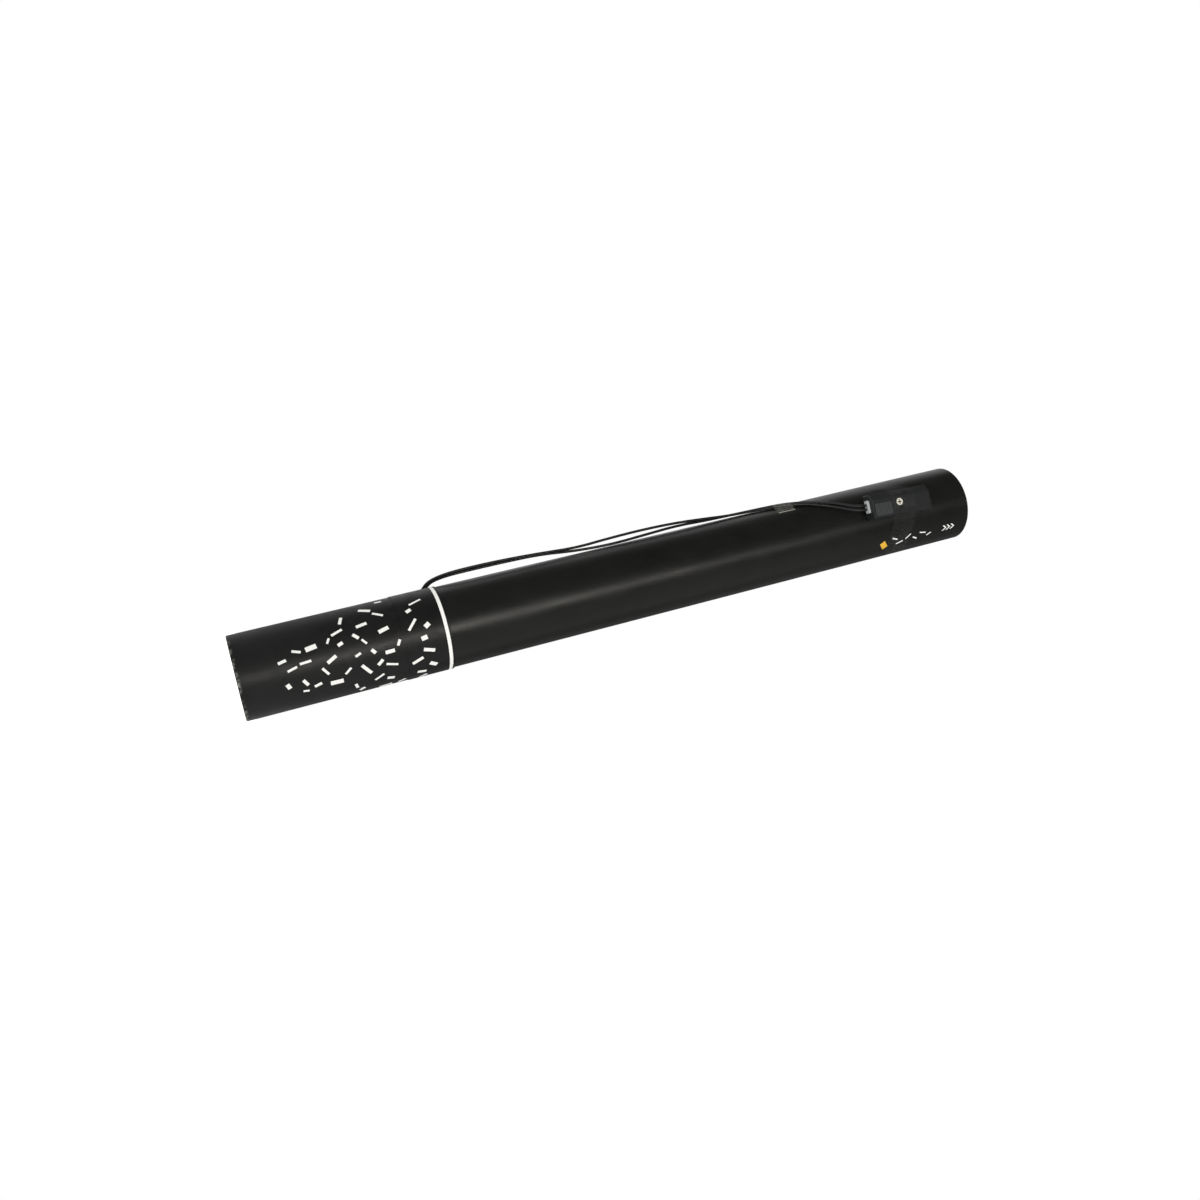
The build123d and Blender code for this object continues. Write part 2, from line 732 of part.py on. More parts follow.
# Screw and nut that hold the two shells together
screw = outward(0, screw_seat, screw_z) * extrude(Circle(screw_head_radius), amount=screw_head)
screw += outward(0, screw_tip, screw_z) * extrude(Circle(screw_radius), amount=screw_seat - screw_tip)
for turn in (0, 90):
    bar = Rectangle(cross_length, cross_width)
    top = outward(0, screw_seat + screw_head - cross_depth, screw_z) * Rot(0, 0, turn)
    screw -= top * extrude(bar, amount=screw_head)
save("plug_screw", plug_place * screw)
nut_section = RegularPolygon(nut_radius, side_count=6) - Circle(screw_radius + thread_fit)
nut = outward(0, nut_sink, screw_z) * extrude(nut_section, amount=nut_thickness)
save("plug_nut", plug_place * nut)

# Contacts: round pins in the socket, each with a terminal block and a terminal screw
carrier = pill(socket_width - carrier_fit * 2, socket_height - carrier_fit * 2, carrier_back, socket_back)
contacts = []
terminal_screws = []
terminal_half = roof_depth - terminal_roof_gap - terminal_head - plug_mid
contact_reach = socket_depth - contact_inset
terminal_z = (terminal_front + terminal_rear) / 2
terminal_top = plug_mid + terminal_half
for side in (-1, 1):
    pin_x = side * contact_pitch / 2
    pin = Pos(pin_x, -plug_mid, socket_back) * extrude(Circle(contact_radius), amount=contact_reach)
    pin = chamfer(pin.faces().sort_by(Axis.Z)[-1].edges(), contact_tip)
    pin += Pos(pin_x, -plug_mid, terminal_front) * extrude(Circle(contact_root_radius), amount=carrier_depth)
    bore_length = carrier_depth * 3
    carrier -= Pos(pin_x, -plug_mid, carrier_back - carrier_depth) * extrude(
        Circle(contact_root_radius + thread_fit), amount=bore_length
    )
    pin += block(
        (pin_x - terminal_half, pin_x + terminal_half),
        (-terminal_top, -plug_mid + terminal_half),
        (terminal_rear, terminal_front),
    )
    hole = extrude(Circle(terminal_screw_radius + thread_fit), amount=terminal_screw_depth * 2)
    pin -= outward(pin_x, terminal_top - terminal_screw_depth, terminal_z) * hole
    contacts.append(plug_place * pin)
    small = outward(pin_x, terminal_top - terminal_screw_depth, terminal_z) * extrude(
        Circle(terminal_screw_radius), amount=terminal_screw_depth
    )
    head = extrude(Circle(terminal_head_radius), amount=terminal_head)
    small += outward(pin_x, terminal_top, terminal_z) * head
    slot_top = terminal_top + terminal_head - slot_depth
    small -= outward(pin_x, slot_top, terminal_z) * extrude(
        Rectangle(terminal_head_radius * 3, slot_depth), amount=terminal_head
    )
    terminal_screws.append(plug_place * small)
save("contact_pins", *contacts)
save("terminal_screws", *terminal_screws)
save("pin_carrier", plug_place * carrier)

# Cord clamp in the rear window, and the wire ends behind it
clamp = block(clamp_x, clamp_y, (clamp_rear, clamp_front))
clamp = fillet(clamp.edges().filter_by(Axis.Z), clamp_round)
save("cord_clamp", plug_place * clamp)
entry_x = [-clamp_offset + wire_pitch / 2, -clamp_offset - wire_pitch / 2]
core_room = screw_z - boss_radius_low - clamp_front
core_turn_z = clamp_front + core_room * core_lead_share
core_spread_z = core_turn_z + core_room * core_run_share
cores = []
for start_x, side in zip(entry_x, (1, -1)):
    core_points = [
        (start_x, -plug_mid, clamp_front),
        (start_x, -plug_mid, core_turn_z),
        (side * core_spread, -plug_mid, core_spread_z),
        (side * core_spread, -plug_mid, terminal_rear),
    ]
    core_path = wire_path(core_points)[0]
    cores.append(plug_place * wire_along(core_path, core_radius))
save("plug_cores", *cores)

# The lead: two single wires that bow off the barrel and run round it to the connector
wire_radius = wire_diameter / 2
exit_radius = barrel_radius + wire_exit_lift
wire_jobs = [
    ("lead_wire_a", wire_a_stations, exit_angle + wire_exit_split, wire_a_exit_run, entry_x[0]),
    ("lead_wire_b", wire_b_stations, exit_angle - wire_exit_split, wire_b_exit_run, entry_x[1]),
]
for node, stations, start_angle, exit_run, end_x in wire_jobs:
    end = (plug_place * Pos(end_x, -plug_mid, clamp_rear)).position
    before_end = (plug_place * Pos(end_x, -plug_mid, clamp_rear - wire_entry_run)).position
    climb = before_end.Z - boot_top_z
    points = [
        around(start_angle, exit_radius, boot_top_z),
        around(start_angle, exit_radius, boot_top_z + exit_run),
    ]
    for share, angle, lift in stations:
        points.append(around(angle, barrel_radius + lift, boot_top_z + share * climb))
    points.append(tuple(before_end))
    points.append(tuple(end))
    path, radii = wire_path(points)
    wire = wire_along(path, wire_radius)
    section = pi * wire_radius**2
    volume_share = wire.volume / section / path.length
    print(node, "length", round(path.length, 1), "volume share", round(volume_share, 4))
    print(node, "least radius", round(min(radii), 1), "of", [round(r, 1) for r in radii])
    print(node, "points", [tuple(round(v, 2) for v in point) for point in points])
    save(node, wire)


def arc(radius, start, end):
    """Arc about the barrel's axis between two angles."""
    return CenterArc((0, 0), radius, start - 90, end - start)


def flat(angle, radius):
    """Point in the plan at an angle round the barrel."""
    return around(angle, radius, 0)[:2]


def tape(line, width, bottom):
    """Film between the same line drawn at two heights off what it covers."""
    inner = line(tape_gap)
    outer = line(tape_gap + tape_thickness)
    ends = [Line(inner[0] @ 0, outer[0] @ 0), Line(inner[-1] @ 1, outer[-1] @ 1)]
    face = make_face(Curve() + inner + outer + ends)
    return Pos(0, 0, bottom) * extrude(face, amount=width)


# Tape over the lead: flat on the barrel, a crest over the two wires
crest_lift = max(station[2] for station in wire_a_stations[-4:-1]) + wire_radius + lead_tape_crest_gap


def lead_tape_line(offset):
    low = barrel_radius + offset
    high = low + crest_lift
    return [
        arc(low, lead_tape_front, lead_tape_foot[0]),
        Line(flat(lead_tape_foot[0], low), flat(lead_tape_crest[0], high)),
        arc(high, lead_tape_crest[0], lead_tape_crest[1]),
        Line(flat(lead_tape_crest[1], high), flat(lead_tape_foot[1], low)),
        arc(low, lead_tape_foot[1], lead_tape_back),
    ]


lead_tape_bottom = plug_rear_z - lead_tape_to_plug - lead_tape_width
save("tape_lead", tape(lead_tape_line, lead_tape_width, lead_tape_bottom))


def rolled(across, height):
    """Point in the plan from its place across the connector and its height over the connector's seat."""
    place = (Rot(0, 0, plug_roll) * Pos(across - plug_offset, -plug_seat - height, 0)).position
    return place.X, place.Y


# Tape over the connector: from the barrel over its shoulder and its face and back to the barrel
def plug_tape_line(offset):
    low = barrel_radius + offset
    lean = offset * plug_tape_lean
    top = plug_thickness + offset
    shoulder = rolled(-plug_half_width - plug_tape_slack - offset, side_height + lean)
    left_edge = rolled(-face_edge - plug_tape_slack - lean, top)
    right_edge = rolled(plug_half_width + plug_tape_slack + offset, top)
    return [
        arc(low, -plug_tape_end, -plug_tape_foot),
        Line(flat(-plug_tape_foot, low), shoulder),
        Line(shoulder, left_edge),
        Line(left_edge, right_edge),
        Line(right_edge, flat(plug_tape_foot, low)),
        arc(low, plug_tape_foot, plug_tape_end),
    ]


save("tape_plug", tape(plug_tape_line, plug_tape_width, plug_rear_z + plug_tape_from_rear))
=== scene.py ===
"""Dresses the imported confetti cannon: lead, tapes, printed marks, confetti slips and materials.

Shared frame in metres: +Z runs from the base to the muzzle, the connector faces -Y.
Angles round the barrel are counted from -Y towards +X, in degrees.
"""

import json
import math
import random

import bpy
from mathutils import Matrix, Vector


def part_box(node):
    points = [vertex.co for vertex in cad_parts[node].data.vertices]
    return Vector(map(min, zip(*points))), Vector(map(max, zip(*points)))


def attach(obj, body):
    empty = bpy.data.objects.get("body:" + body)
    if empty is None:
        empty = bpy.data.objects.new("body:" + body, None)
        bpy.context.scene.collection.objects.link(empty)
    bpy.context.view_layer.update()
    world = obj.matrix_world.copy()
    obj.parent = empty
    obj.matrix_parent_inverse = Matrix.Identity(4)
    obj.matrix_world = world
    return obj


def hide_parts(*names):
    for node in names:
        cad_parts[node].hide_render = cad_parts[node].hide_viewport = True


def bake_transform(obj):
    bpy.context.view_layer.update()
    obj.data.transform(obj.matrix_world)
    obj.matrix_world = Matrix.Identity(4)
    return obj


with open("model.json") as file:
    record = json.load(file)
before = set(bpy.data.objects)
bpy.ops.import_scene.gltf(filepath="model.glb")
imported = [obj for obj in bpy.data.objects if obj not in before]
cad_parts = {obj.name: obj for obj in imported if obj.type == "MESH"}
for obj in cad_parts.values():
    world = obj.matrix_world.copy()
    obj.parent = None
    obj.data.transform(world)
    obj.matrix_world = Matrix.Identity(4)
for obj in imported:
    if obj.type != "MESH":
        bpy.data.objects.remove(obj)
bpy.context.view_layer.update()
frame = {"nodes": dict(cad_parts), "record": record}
nodes = frame["nodes"]
MM = 0.001
SEED = 7

# Barrel and label sleeve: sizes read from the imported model, and the height and radius of the sleeve's steps
BARREL_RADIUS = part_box("barrel_tube")[1].x
BARREL_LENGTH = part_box("barrel_tube")[1].z
HEM_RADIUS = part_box("label_sleeve")[1].x
LABEL_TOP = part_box("label_sleeve")[1].z
HEM_HEIGHT = 28.2 * MM
HEM_FOOT = LABEL_TOP - HEM_HEIGHT
SLEEVE_RADIUS = 25.8 * MM

# Camera, fitted to the photograph: its place and the picture's axes
CAMERA_PLACE = Vector((0.14162, -0.66626, 0.00587))
PICTURE_RIGHT = Vector((0.29806, -0.24681, 0.92209))
PICTURE_DOWN = Vector((0.93587, 0.26572, -0.23139))
CAMERA_LENS = 33.25
CAMERA_SENSOR = 36.0

# The lead: points of the two single wires from the seal to the connector's clamp, the CAD route's with some
# moved to follow the photograph
WIRE_DIAMETER = 1.75 * MM
WIRE_BEVEL_STEPS = 5
WIRE_LINE_STEPS = 10
WIRE_ROUTES = {
    "wire_a": [
        (-0.02631, 0.00651, 0.10680), (-0.02600, 0.00706, 0.11800), (-0.02960, -0.00026, 0.12200),
        (-0.03080, -0.00380, 0.12750), (-0.03112, -0.00747, 0.13550), (-0.03107, -0.00920, 0.15017),
        (-0.03062, -0.00995, 0.17197), (-0.02922, -0.01064, 0.19612), (-0.02763, -0.01006, 0.21910),
        (-0.02877, -0.01013, 0.24297), (-0.02913, -0.01060, 0.26715), (-0.02857, -0.01040, 0.29105),
        (-0.02675, -0.01080, 0.31106), (-0.02500, -0.01075, 0.32901), (-0.02443, -0.01113, 0.34495),
        (-0.02317, -0.01338, 0.35792), (-0.02164, -0.01572, 0.36913), (-0.01908, -0.01875, 0.38003),
        (-0.01484, -0.02225, 0.39002), (-0.00982, -0.02558, 0.40007), (-0.00234, -0.03174, 0.41049),
        (-0.00201, -0.03168, 0.41698),
    ],
    "wire_b": [
        (-0.02576, 0.00842, 0.10680), (-0.02560, 0.00890, 0.11920), (-0.02917, 0.00127, 0.12350),
        (-0.03003, -0.00210, 0.12752), (-0.03023, -0.00560, 0.13600), (-0.02985, -0.00770, 0.15019),
        (-0.02983, -0.00766, 0.17200), (-0.02920, -0.00810, 0.19616), (-0.02647, -0.00709, 0.21916),
        (-0.02430, -0.01082, 0.24304), (-0.02550, -0.01030, 0.26723), (-0.02677, -0.00948, 0.29114),
        (-0.02590, -0.00892, 0.31116), (-0.02571, -0.00855, 0.32912), (-0.02542, -0.00850, 0.34507),
        (-0.02480, -0.01002, 0.35804), (-0.02362, -0.01256, 0.36925), (-0.02108, -0.01647, 0.38016),
        (-0.01737, -0.02034, 0.39016), (-0.01307, -0.02408, 0.40021), (-0.00510, -0.03222, 0.41064),
        (-0.00476, -0.03217, 0.41713),
    ],
}

# Connector, before it is rolled about the barrel: its sides, the edge of its face, its seat on the barrel,
# the heights of its side and its face over the seat, and its roll and skew in degrees
PLUG_SPAN = (-15.7 * MM, 1.3 * MM)
PLUG_FACE_EDGE = -11.3 * MM
PLUG_SEAT = 25.55 * MM
PLUG_SIDE = 7.1 * MM
PLUG_HEIGHT = 10.6 * MM
PLUG_ROLL = 10.0
PLUG_SKEW = 3.0

# Clear tape: film thickness and lift off what it covers
FILM = 0.06 * MM
FILM_LIFT = 0.07 * MM

# Tape over the lead: angles it spans, reach of the ridge over a wire, mesh and columns of the edge with a
# painted highlight
LEAD_TAPE_ANGLES = (-40.0, -125.0)
LEAD_TAPE_REACH = 3.6 * MM
LEAD_TAPE_ROWS = 16
LEAD_TAPE_COLUMNS = 171
LEAD_TAPE_HIGHLIGHT_COLUMNS = 3

# Tape over the connector: angles where it ends and leaves the barrel, slack, lift, mesh and soft corners
PLUG_TAPE_END = 80.0
PLUG_TAPE_FOOT = 48.0
PLUG_TAPE_SLACK = 0.6 * MM
PLUG_TAPE_LIFT = 0.25 * MM
PLUG_TAPE_ROWS = 12
PLUG_TAPE_STEPS = 16
PLUG_TAPE_PASSES = 3
CORNER_CUT = 0.25

# Printed marks: lift over the surface, white stripe and the chevrons that point to the muzzle
PRINT_LIFT = 0.04 * MM
STRIPE_CENTRE = LABEL_TOP - 2.4 * MM
STRIPE_WIDTH = 2.1 * MM
STRIPE_STEPS = 160
CHEVRON_COUNT = 3
CHEVRON_BASE = BARREL_LENGTH - 21.0 * MM
CHEVRON_PITCH = 3.3 * MM
CHEVRON_STROKE = 1.3 * MM
CHEVRON_DEPTH = 2.4 * MM
CHEVRON_ANGLES = (47.5, 57.5)
CHEVRON_STEPS = 6

# Print on the label: a spray of plain slips that fans out from a point (angle, height) and ends below the
# stripe; fan in degrees, stray turn of a slip in radians
SPRAY_FROM = (24.0, 6.0 * MM)
SPRAY_TOP = STRIPE_CENTRE - 3 * STRIPE_WIDTH
SPRAY_COUNT = 48
SPRAY_TRIES = 4000
SPRAY_REACH = (20.0 * MM, 108.0 * MM)
SPRAY_FAN = 24.0
SPRAY_TURN = 1.1
SPRAY_LENGTHS = (3.2 * MM, 8.5 * MM)
SPRAY_WIDTHS = (1.3 * MM, 3.0 * MM)
SPRAY_GAP = 1.2 * MM
PRINT_STEPS = 7

# A few slips by the muzzle: angle, height, length, width and turn in degrees
MUZZLE_SLIPS = {
    "print_amber": [(57.0, 431.0 * MM, 6.4 * MM, 4.2 * MM, 58.0)],
    "print_white": [
        (49.5, 439.5 * MM, 4.6 * MM, 1.0 * MM, 24.0),
        (58.5, 444.0 * MM, 5.4 * MM, 1.0 * MM, -18.0),
        (51.0, 450.5 * MM, 5.0 * MM, 0.9 * MM, -40.0),
        (57.0, 456.5 * MM, 4.2 * MM, 1.0 * MM, 30.0),
        (50.5, 462.5 * MM, 5.2 * MM, 0.9 * MM, 12.0),
        (56.0, 468.0 * MM, 3.8 * MM, 0.9 * MM, -30.0),
    ],
}

# Confetti slips: width, spacing in a stack, film, how far they are out of line, and mesh
SLIP_WIDTH = 17.0 * MM
SLIP_PITCH = 0.62 * MM
SLIP_FILM = 0.10 * MM
SLIP_INSET = 0.5 * MM
SLIP_STRAY = 0.4 * MM
SLIP_SIDE_STRAY = SLIP_STRAY / 4
SLIP_BOW = 0.12 * MM
SLIP_ROWS = 5
SLIP_SIDES = (-0.5, 0.0, 0.5)
PACKS = 6

# Soft discs: rounding of the edge, rise of the crown and mesh
FOAM_ROUND = 1.1 * MM
FOAM_CROWN = 0.35 * MM
FELT_ROUND = 0.8 * MM
DISC_STEPS = 96
DISC_RINGS = 6
DISC_EDGE_STEPS = 8

# Thread loop: radius of the thread and of its bends, heading in degrees, how softly it bends, its two plies
# as a share of the thread, how far they lie off the middle, their turns and the mesh
THREAD_RADIUS = 0.4 * MM
THREAD_REACH = 2.95 * MM
THREAD_HEADING = -16.0
THREAD_BEND = 0.35
THREAD_PLY = 0.52
THREAD_LAY = 0.9
THREAD_TURNS = 14
THREAD_STEPS = 180
THREAD_SIDES = 8

# Materials: span of noise between two tones, size of rough patches against the grain, spread and least value
# of the roughness, slope at which the tube's end begins, how the tube is rubbed, wear at the label's foot,
# where the tone of the connector's grip and the painted shade in the screw's recess set in, and how much the
# tape's film and its painted highlight along the edge cover
TONE_SPAN = (0.3, 0.7)
PATCH_SCALE = 14
ROUGH_SPAN = 0.07
LEAST_ROUGHNESS = 0.02
END_SLOPE = (0.6, 0.8)
RUBBED_SPAN = (0.3, 0.75)
RUBBED_ROUGHNESS = (0.29, 0.40)
WEAR_HEIGHT = 1.2 * MM
WEAR_FADE = 1.8 * MM
WEAR_SPAN = (0.47, 0.62)
GRIP_TONE = (0.10 * MM, 0.25 * MM)
RECESS_PAINTED_SHADE = (0.10 * MM, 0.30 * MM)
TAPE_COVER = (0.09, 0.50)

# Floor and room: glow, half width, tone and roughness of the floor, light of the room on matt and on glossy
# surfaces
FLOOR_GLOW = 0.75
FLOOR_HALF = 6.0
FLOOR_TONE = (0.8, 0.8, 0.8)
FLOOR_ROUGHNESS = 0.9
ROOM_LEVEL = 0.85
GLOSS_SPAN = (-0.3, 0.8)
GLOSS_LEVELS = (0.03, 0.16)

# Warm strip that fades towards the muzzle: name, distance, height of its top and brightness of each length.
# The lengths stand one behind the other, because lamps in one plane lose light
STRIP_ANGLE = 20.0
STRIP_FOOT = -0.10
STRIP_WIDTH = 0.18
STRIP_COLOUR = (1.0, 0.96, 0.90)
STRIP_STEPS = [
    ("strip_short", 1.30, 0.55, 4.8),
    ("strip_middle", 1.32, 0.90, 3.0),
    ("strip_long", 1.34, 1.25, 2.5),
]

# Soft lamps: name, angle round the barrel, distance, height, size and brightness
SOFT_LAMPS = [
    ("upper", -125.0, 1.4, 1.1, (1.35, 1.8), 0.62),
    ("lower", 78.0, 1.5, 0.50, (1.9, 1.8), 0.34),
]


def srgb(*levels):
    """Linear colour from 0-255 display levels."""
    shares = [level / 255 for level in levels]
    return [s / 12.92 if s <= 0.04045 else ((s + 0.055) / 1.055) ** 2.4 for s in shares]


def around(angle, radius, z):
    """Point at an angle round the barrel."""
    turn = math.radians(angle)
    return Vector((radius * math.sin(turn), -radius * math.cos(turn), z))


def smooth(t):
    """Smooth step from 0 to 1."""
    t = min(1.0, max(0.0, t))
    return t * t * (3 - 2 * t)


def mesh_piece(name, points, faces):
    """New mesh object from points and faces, shaded smooth."""
    mesh = bpy.data.meshes.new(name)
    mesh.from_pydata([tuple(p) for p in points], [], faces)
    mesh.update()
    for polygon in mesh.polygons:
        polygon.use_smooth = True
    piece = bpy.data.objects.new(name, mesh)
    bpy.context.scene.collection.objects.link(piece)
    return piece


def grid_faces(rows, columns, start=0, closed=False):
    """Quads of a grid of points laid out row by row; closed joins the last column to the first."""
    faces = []
    for row in range(rows - 1):
        for column in range(columns if closed else columns - 1):
            a = start + row * columns + column
            b = start + row * columns + (column + 1) % columns
            faces.append((a, b, b + columns, a + columns))
    return faces


def thicken(piece, thickness, offset):
    """Give a sheet a real thickness, to one side of it (offset 1 or -1) or to both (0)."""
    modifier = piece.modifiers.new("thickness", "SOLIDIFY")
    modifier.thickness = thickness
    modifier.offset = offset


# Materials
def node(tree, kind, **values):
    """Add a shader node and set its properties."""
    made = tree.nodes.new(kind)
    for key, value in values.items():
        setattr(made, key, value)
    return made


def surface_noise(tree, grain, stretch=(1, 1, 1), detail=5.0, rough=0.6):
    """Noise over the surface, fixed to the object; grain is the width of a spot."""
    place = node(tree, "ShaderNodeTexCoord")
    mapping = node(tree, "ShaderNodeMapping")
    mapping.inputs["Scale"].default_value = [s / grain for s in stretch]
    noise = node(tree, "ShaderNodeTexNoise")
    noise.inputs["Scale"].default_value = 1.0
    noise.inputs["Detail"].default_value = detail
    noise.inputs["Roughness"].default_value = rough
    tree.links.new(place.outputs["Object"], mapping.inputs["Vector"])
    tree.links.new(mapping.outputs["Vector"], noise.inputs["Vector"])
    return noise.outputs["Fac"]


def remap(tree, value, low, high, new_low, new_high):
    """Value moved from one span to another, held at the ends."""
    made = node(tree, "ShaderNodeMapRange", clamp=True)
    for key, number in zip(("From Min", "From Max", "To Min", "To Max"), (low, high, new_low, new_high)):
        made.inputs[key].default_value = number
    tree.links.new(value, made.inputs["Value"])
    return made.outputs["Result"]


def two_tone(tree, value, first, second):
    """Colour between two tones."""
    ramp = node(tree, "ShaderNodeValToRGB")
    for element, position, tone in zip(ramp.color_ramp.elements, TONE_SPAN, (first, second)):
        element.position = position
        element.color = (*tone, 1)
    tree.links.new(value, ramp.inputs["Fac"])
    return ramp.outputs["Color"]


def mixed(tree, share, first, second):
    """One colour output laid over another."""
    made = node(tree, "ShaderNodeMix", data_type="RGBA")
    tree.links.new(share, made.inputs["Factor"])
    for socket, value in ((made.inputs[6], first), (made.inputs[7], second)):
        if isinstance(value, bpy.types.NodeSocket):
            tree.links.new(value, socket)
        else:
            socket.default_value = (*value, 1)
    return made.outputs[2]


def bumped(tree, heights):
    """Normal from several (height output, distance) layers."""
    normal = None
    for value, distance in heights:
        bump = node(tree, "ShaderNodeBump")
        bump.inputs["Distance"].default_value = distance
        tree.links.new(value, bump.inputs["Height"])
        if normal is not None:
            tree.links.new(normal, bump.inputs["Normal"])
        normal = bump.outputs["Normal"]
    return normal


def material(name, colour, rough, metal=0.0, specular=0.5, grain=0.8 * MM, tone=0.12,
             bump=0.01 * MM, stretch=(1, 1, 1), coat=0.0, sheen=0.0, alpha=1.0):
    """Principled material with fine variation of colour, roughness and height."""
    made = bpy.data.materials.new(name)
    made.use_nodes = True
    tree = made.node_tree
    shader = tree.nodes["Principled BSDF"]
    shader.inputs["Metallic"].default_value = metal
    shader.inputs["Specular IOR Level"].default_value = specular
    shader.inputs["Coat Weight"].default_value = coat
    shader.inputs["Sheen Weight"].default_value = sheen
    shader.inputs["Alpha"].default_value = alpha
    spots = surface_noise(tree, grain, stretch)
    patches = surface_noise(tree, grain * PATCH_SCALE, stretch, detail=3.0)
    darker = [c * (1 - tone) for c in colour]
    lighter = [min(1.0, c * (1 + tone)) for c in colour]
    tree.links.new(two_tone(tree, spots, darker, lighter), shader.inputs["Base Color"])
    low, high = max(LEAST_ROUGHNESS, rough - ROUGH_SPAN), min(1.0, rough + ROUGH_SPAN)
    tree.links.new(remap(tree, patches, *TONE_SPAN, low, high), shader.inputs["Roughness"])
    tree.links.new(bumped(tree, [(spots, bump)]), shader.inputs["Normal"])
    return made


def parts_of(made):
    """Node tree and shader of a material."""
    return made.node_tree, made.node_tree.nodes["Principled BSDF"]


def height_above(tree, level, span):
    """0 below a height over the base, 1 above it, over a span."""
    place = node(tree, "ShaderNodeTexCoord")
    split = node(tree, "ShaderNodeSeparateXYZ")
    tree.links.new(place.outputs["Object"], split.inputs["Vector"])
    return remap(tree, split.outputs["Z"], level - span / 2, level + span / 2, 0.0, 1.0)


def facing_ends(tree):
    """1 on faces that look along the barrel, 0 on the others."""
    geometry = node(tree, "ShaderNodeNewGeometry")
    split = node(tree, "ShaderNodeSeparateXYZ")
    size = node(tree, "ShaderNodeMath", operation="ABSOLUTE")
    tree.links.new(geometry.outputs["Normal"], split.inputs["Vector"])
    tree.links.new(split.outputs["Z"], size.inputs[0])
    return remap(tree, size.outputs["Value"], *END_SLOPE, 0.0, 1.0)


def product(tree, first, second):
    """Two outputs multiplied."""
    made = node(tree, "ShaderNodeMath", operation="MULTIPLY")
    tree.links.new(first, made.inputs[0])
    tree.links.new(second, made.inputs[1])
    return made.outputs["Value"]


def tube_material():
    """Black satin film over wound board: slow waves, fine grain, raw board at the ends."""
    made = material("tube_black", srgb(20, 21, 19), 0.34, specular=0.36, grain=0.5 * MM, tone=0.10)
    tree, shader = parts_of(made)
    fine = surface_noise(tree, 0.35 * MM)
    waves = surface_noise(tree, 34 * MM, stretch=(1, 1, 0.55), detail=1.5, rough=0.4)
    normal = bumped(tree, [(waves, 0.9 * MM), (fine, 0.004 * MM)])
    tree.links.new(normal, shader.inputs["Normal"])
    rubbed = surface_noise(tree, 9 * MM, stretch=(1, 1, 0.35))
    tree.links.new(remap(tree, rubbed, *RUBBED_SPAN, *RUBBED_ROUGHNESS), shader.inputs["Roughness"])
    film = two_tone(tree, surface_noise(tree, 22 * MM), srgb(20, 21, 19), srgb(25, 26, 24))
    board = two_tone(tree, surface_noise(tree, 0.3 * MM), srgb(34, 32, 30), srgb(62, 58, 54))
    tree.links.new(mixed(tree, facing_ends(tree), film, board), shader.inputs["Base Color"])
    return made


def label_material():
    """Printed satin sleeve, with a little wear along its lower edge."""
    made = material("label_black", srgb(22, 23, 22), 0.40, specular=0.36, grain=0.4 * MM, tone=0.12)
    tree, shader = parts_of(made)
    waves = surface_noise(tree, 26 * MM, detail=2.0, rough=0.45)
    fine = surface_noise(tree, 0.3 * MM)
    tree.links.new(bumped(tree, [(waves, 0.5 * MM), (fine, 0.004 * MM)]), shader.inputs["Normal"])
    film = two_tone(tree, surface_noise(tree, 15 * MM), srgb(14, 15, 14), srgb(19, 20, 19))
    scuffs = remap(tree, surface_noise(tree, 4.5 * MM, detail=7.0, rough=0.7), *WEAR_SPAN, 0.0, 1.0)
    invert = node(tree, "ShaderNodeMath", operation="SUBTRACT")
    invert.inputs[0].default_value = 1.0
    tree.links.new(height_above(tree, WEAR_HEIGHT, WEAR_FADE), invert.inputs[1])
    worn = product(tree, scuffs, invert.outputs["Value"])
    tree.links.new(mixed(tree, worn, film, srgb(168, 166, 160)), shader.inputs["Base Color"])
    return made


def confetti_material():
    """Metallised slips: bright foil and pale backs, a tone for each slip."""
    made = material("confetti_silver", srgb(205, 206, 208), 0.24, metal=0.85, grain=6 * MM, tone=0.05,
                    bump=0.05 * MM)
    tree, shader = parts_of(made)
    tones = node(tree, "ShaderNodeAttribute", attribute_name="slip_tone")
    colour = two_tone(tree, tones.outputs["Fac"], srgb(178, 181, 184), srgb(236, 236, 238))
    tree.links.new(colour, shader.inputs["Base Color"])
    return made


def plug_outward(tree):
    """Distance from the barrel's axis, the way the connector faces."""
    place = node(tree, "ShaderNodeTexCoord")
    outward = node(tree, "ShaderNodeVectorMath", operation="DOT_PRODUCT")
    outward.inputs[1].default_value = around(PLUG_ROLL, 1.0, 0.0)
    tree.links.new(place.outputs["Object"], outward.inputs[0])
    return outward.outputs["Value"]


def plug_material():
    """Moulded dark plastic; the raised grip pad is a little paler and stippled."""
    made = material("plug_grey", srgb(36, 38, 38), 0.50, specular=0.35, grain=0.28 * MM, tone=0.14,
                    bump=0.03 * MM)
    tree, shader = parts_of(made)
    face = PLUG_SEAT + PLUG_HEIGHT
    raised = remap(tree, plug_outward(tree), face + GRIP_TONE[0], face + GRIP_TONE[1], 0.0, 1.0)
    body = two_tone(tree, surface_noise(tree, 0.3 * MM), srgb(27, 29, 29), srgb(34, 36, 36))
    pad = two_tone(tree, surface_noise(tree, 0.9 * MM, detail=1.0), srgb(49, 52, 53), srgb(66, 69, 70))
    tree.links.new(mixed(tree, raised, body, pad), shader.inputs["Base Color"])
    return made


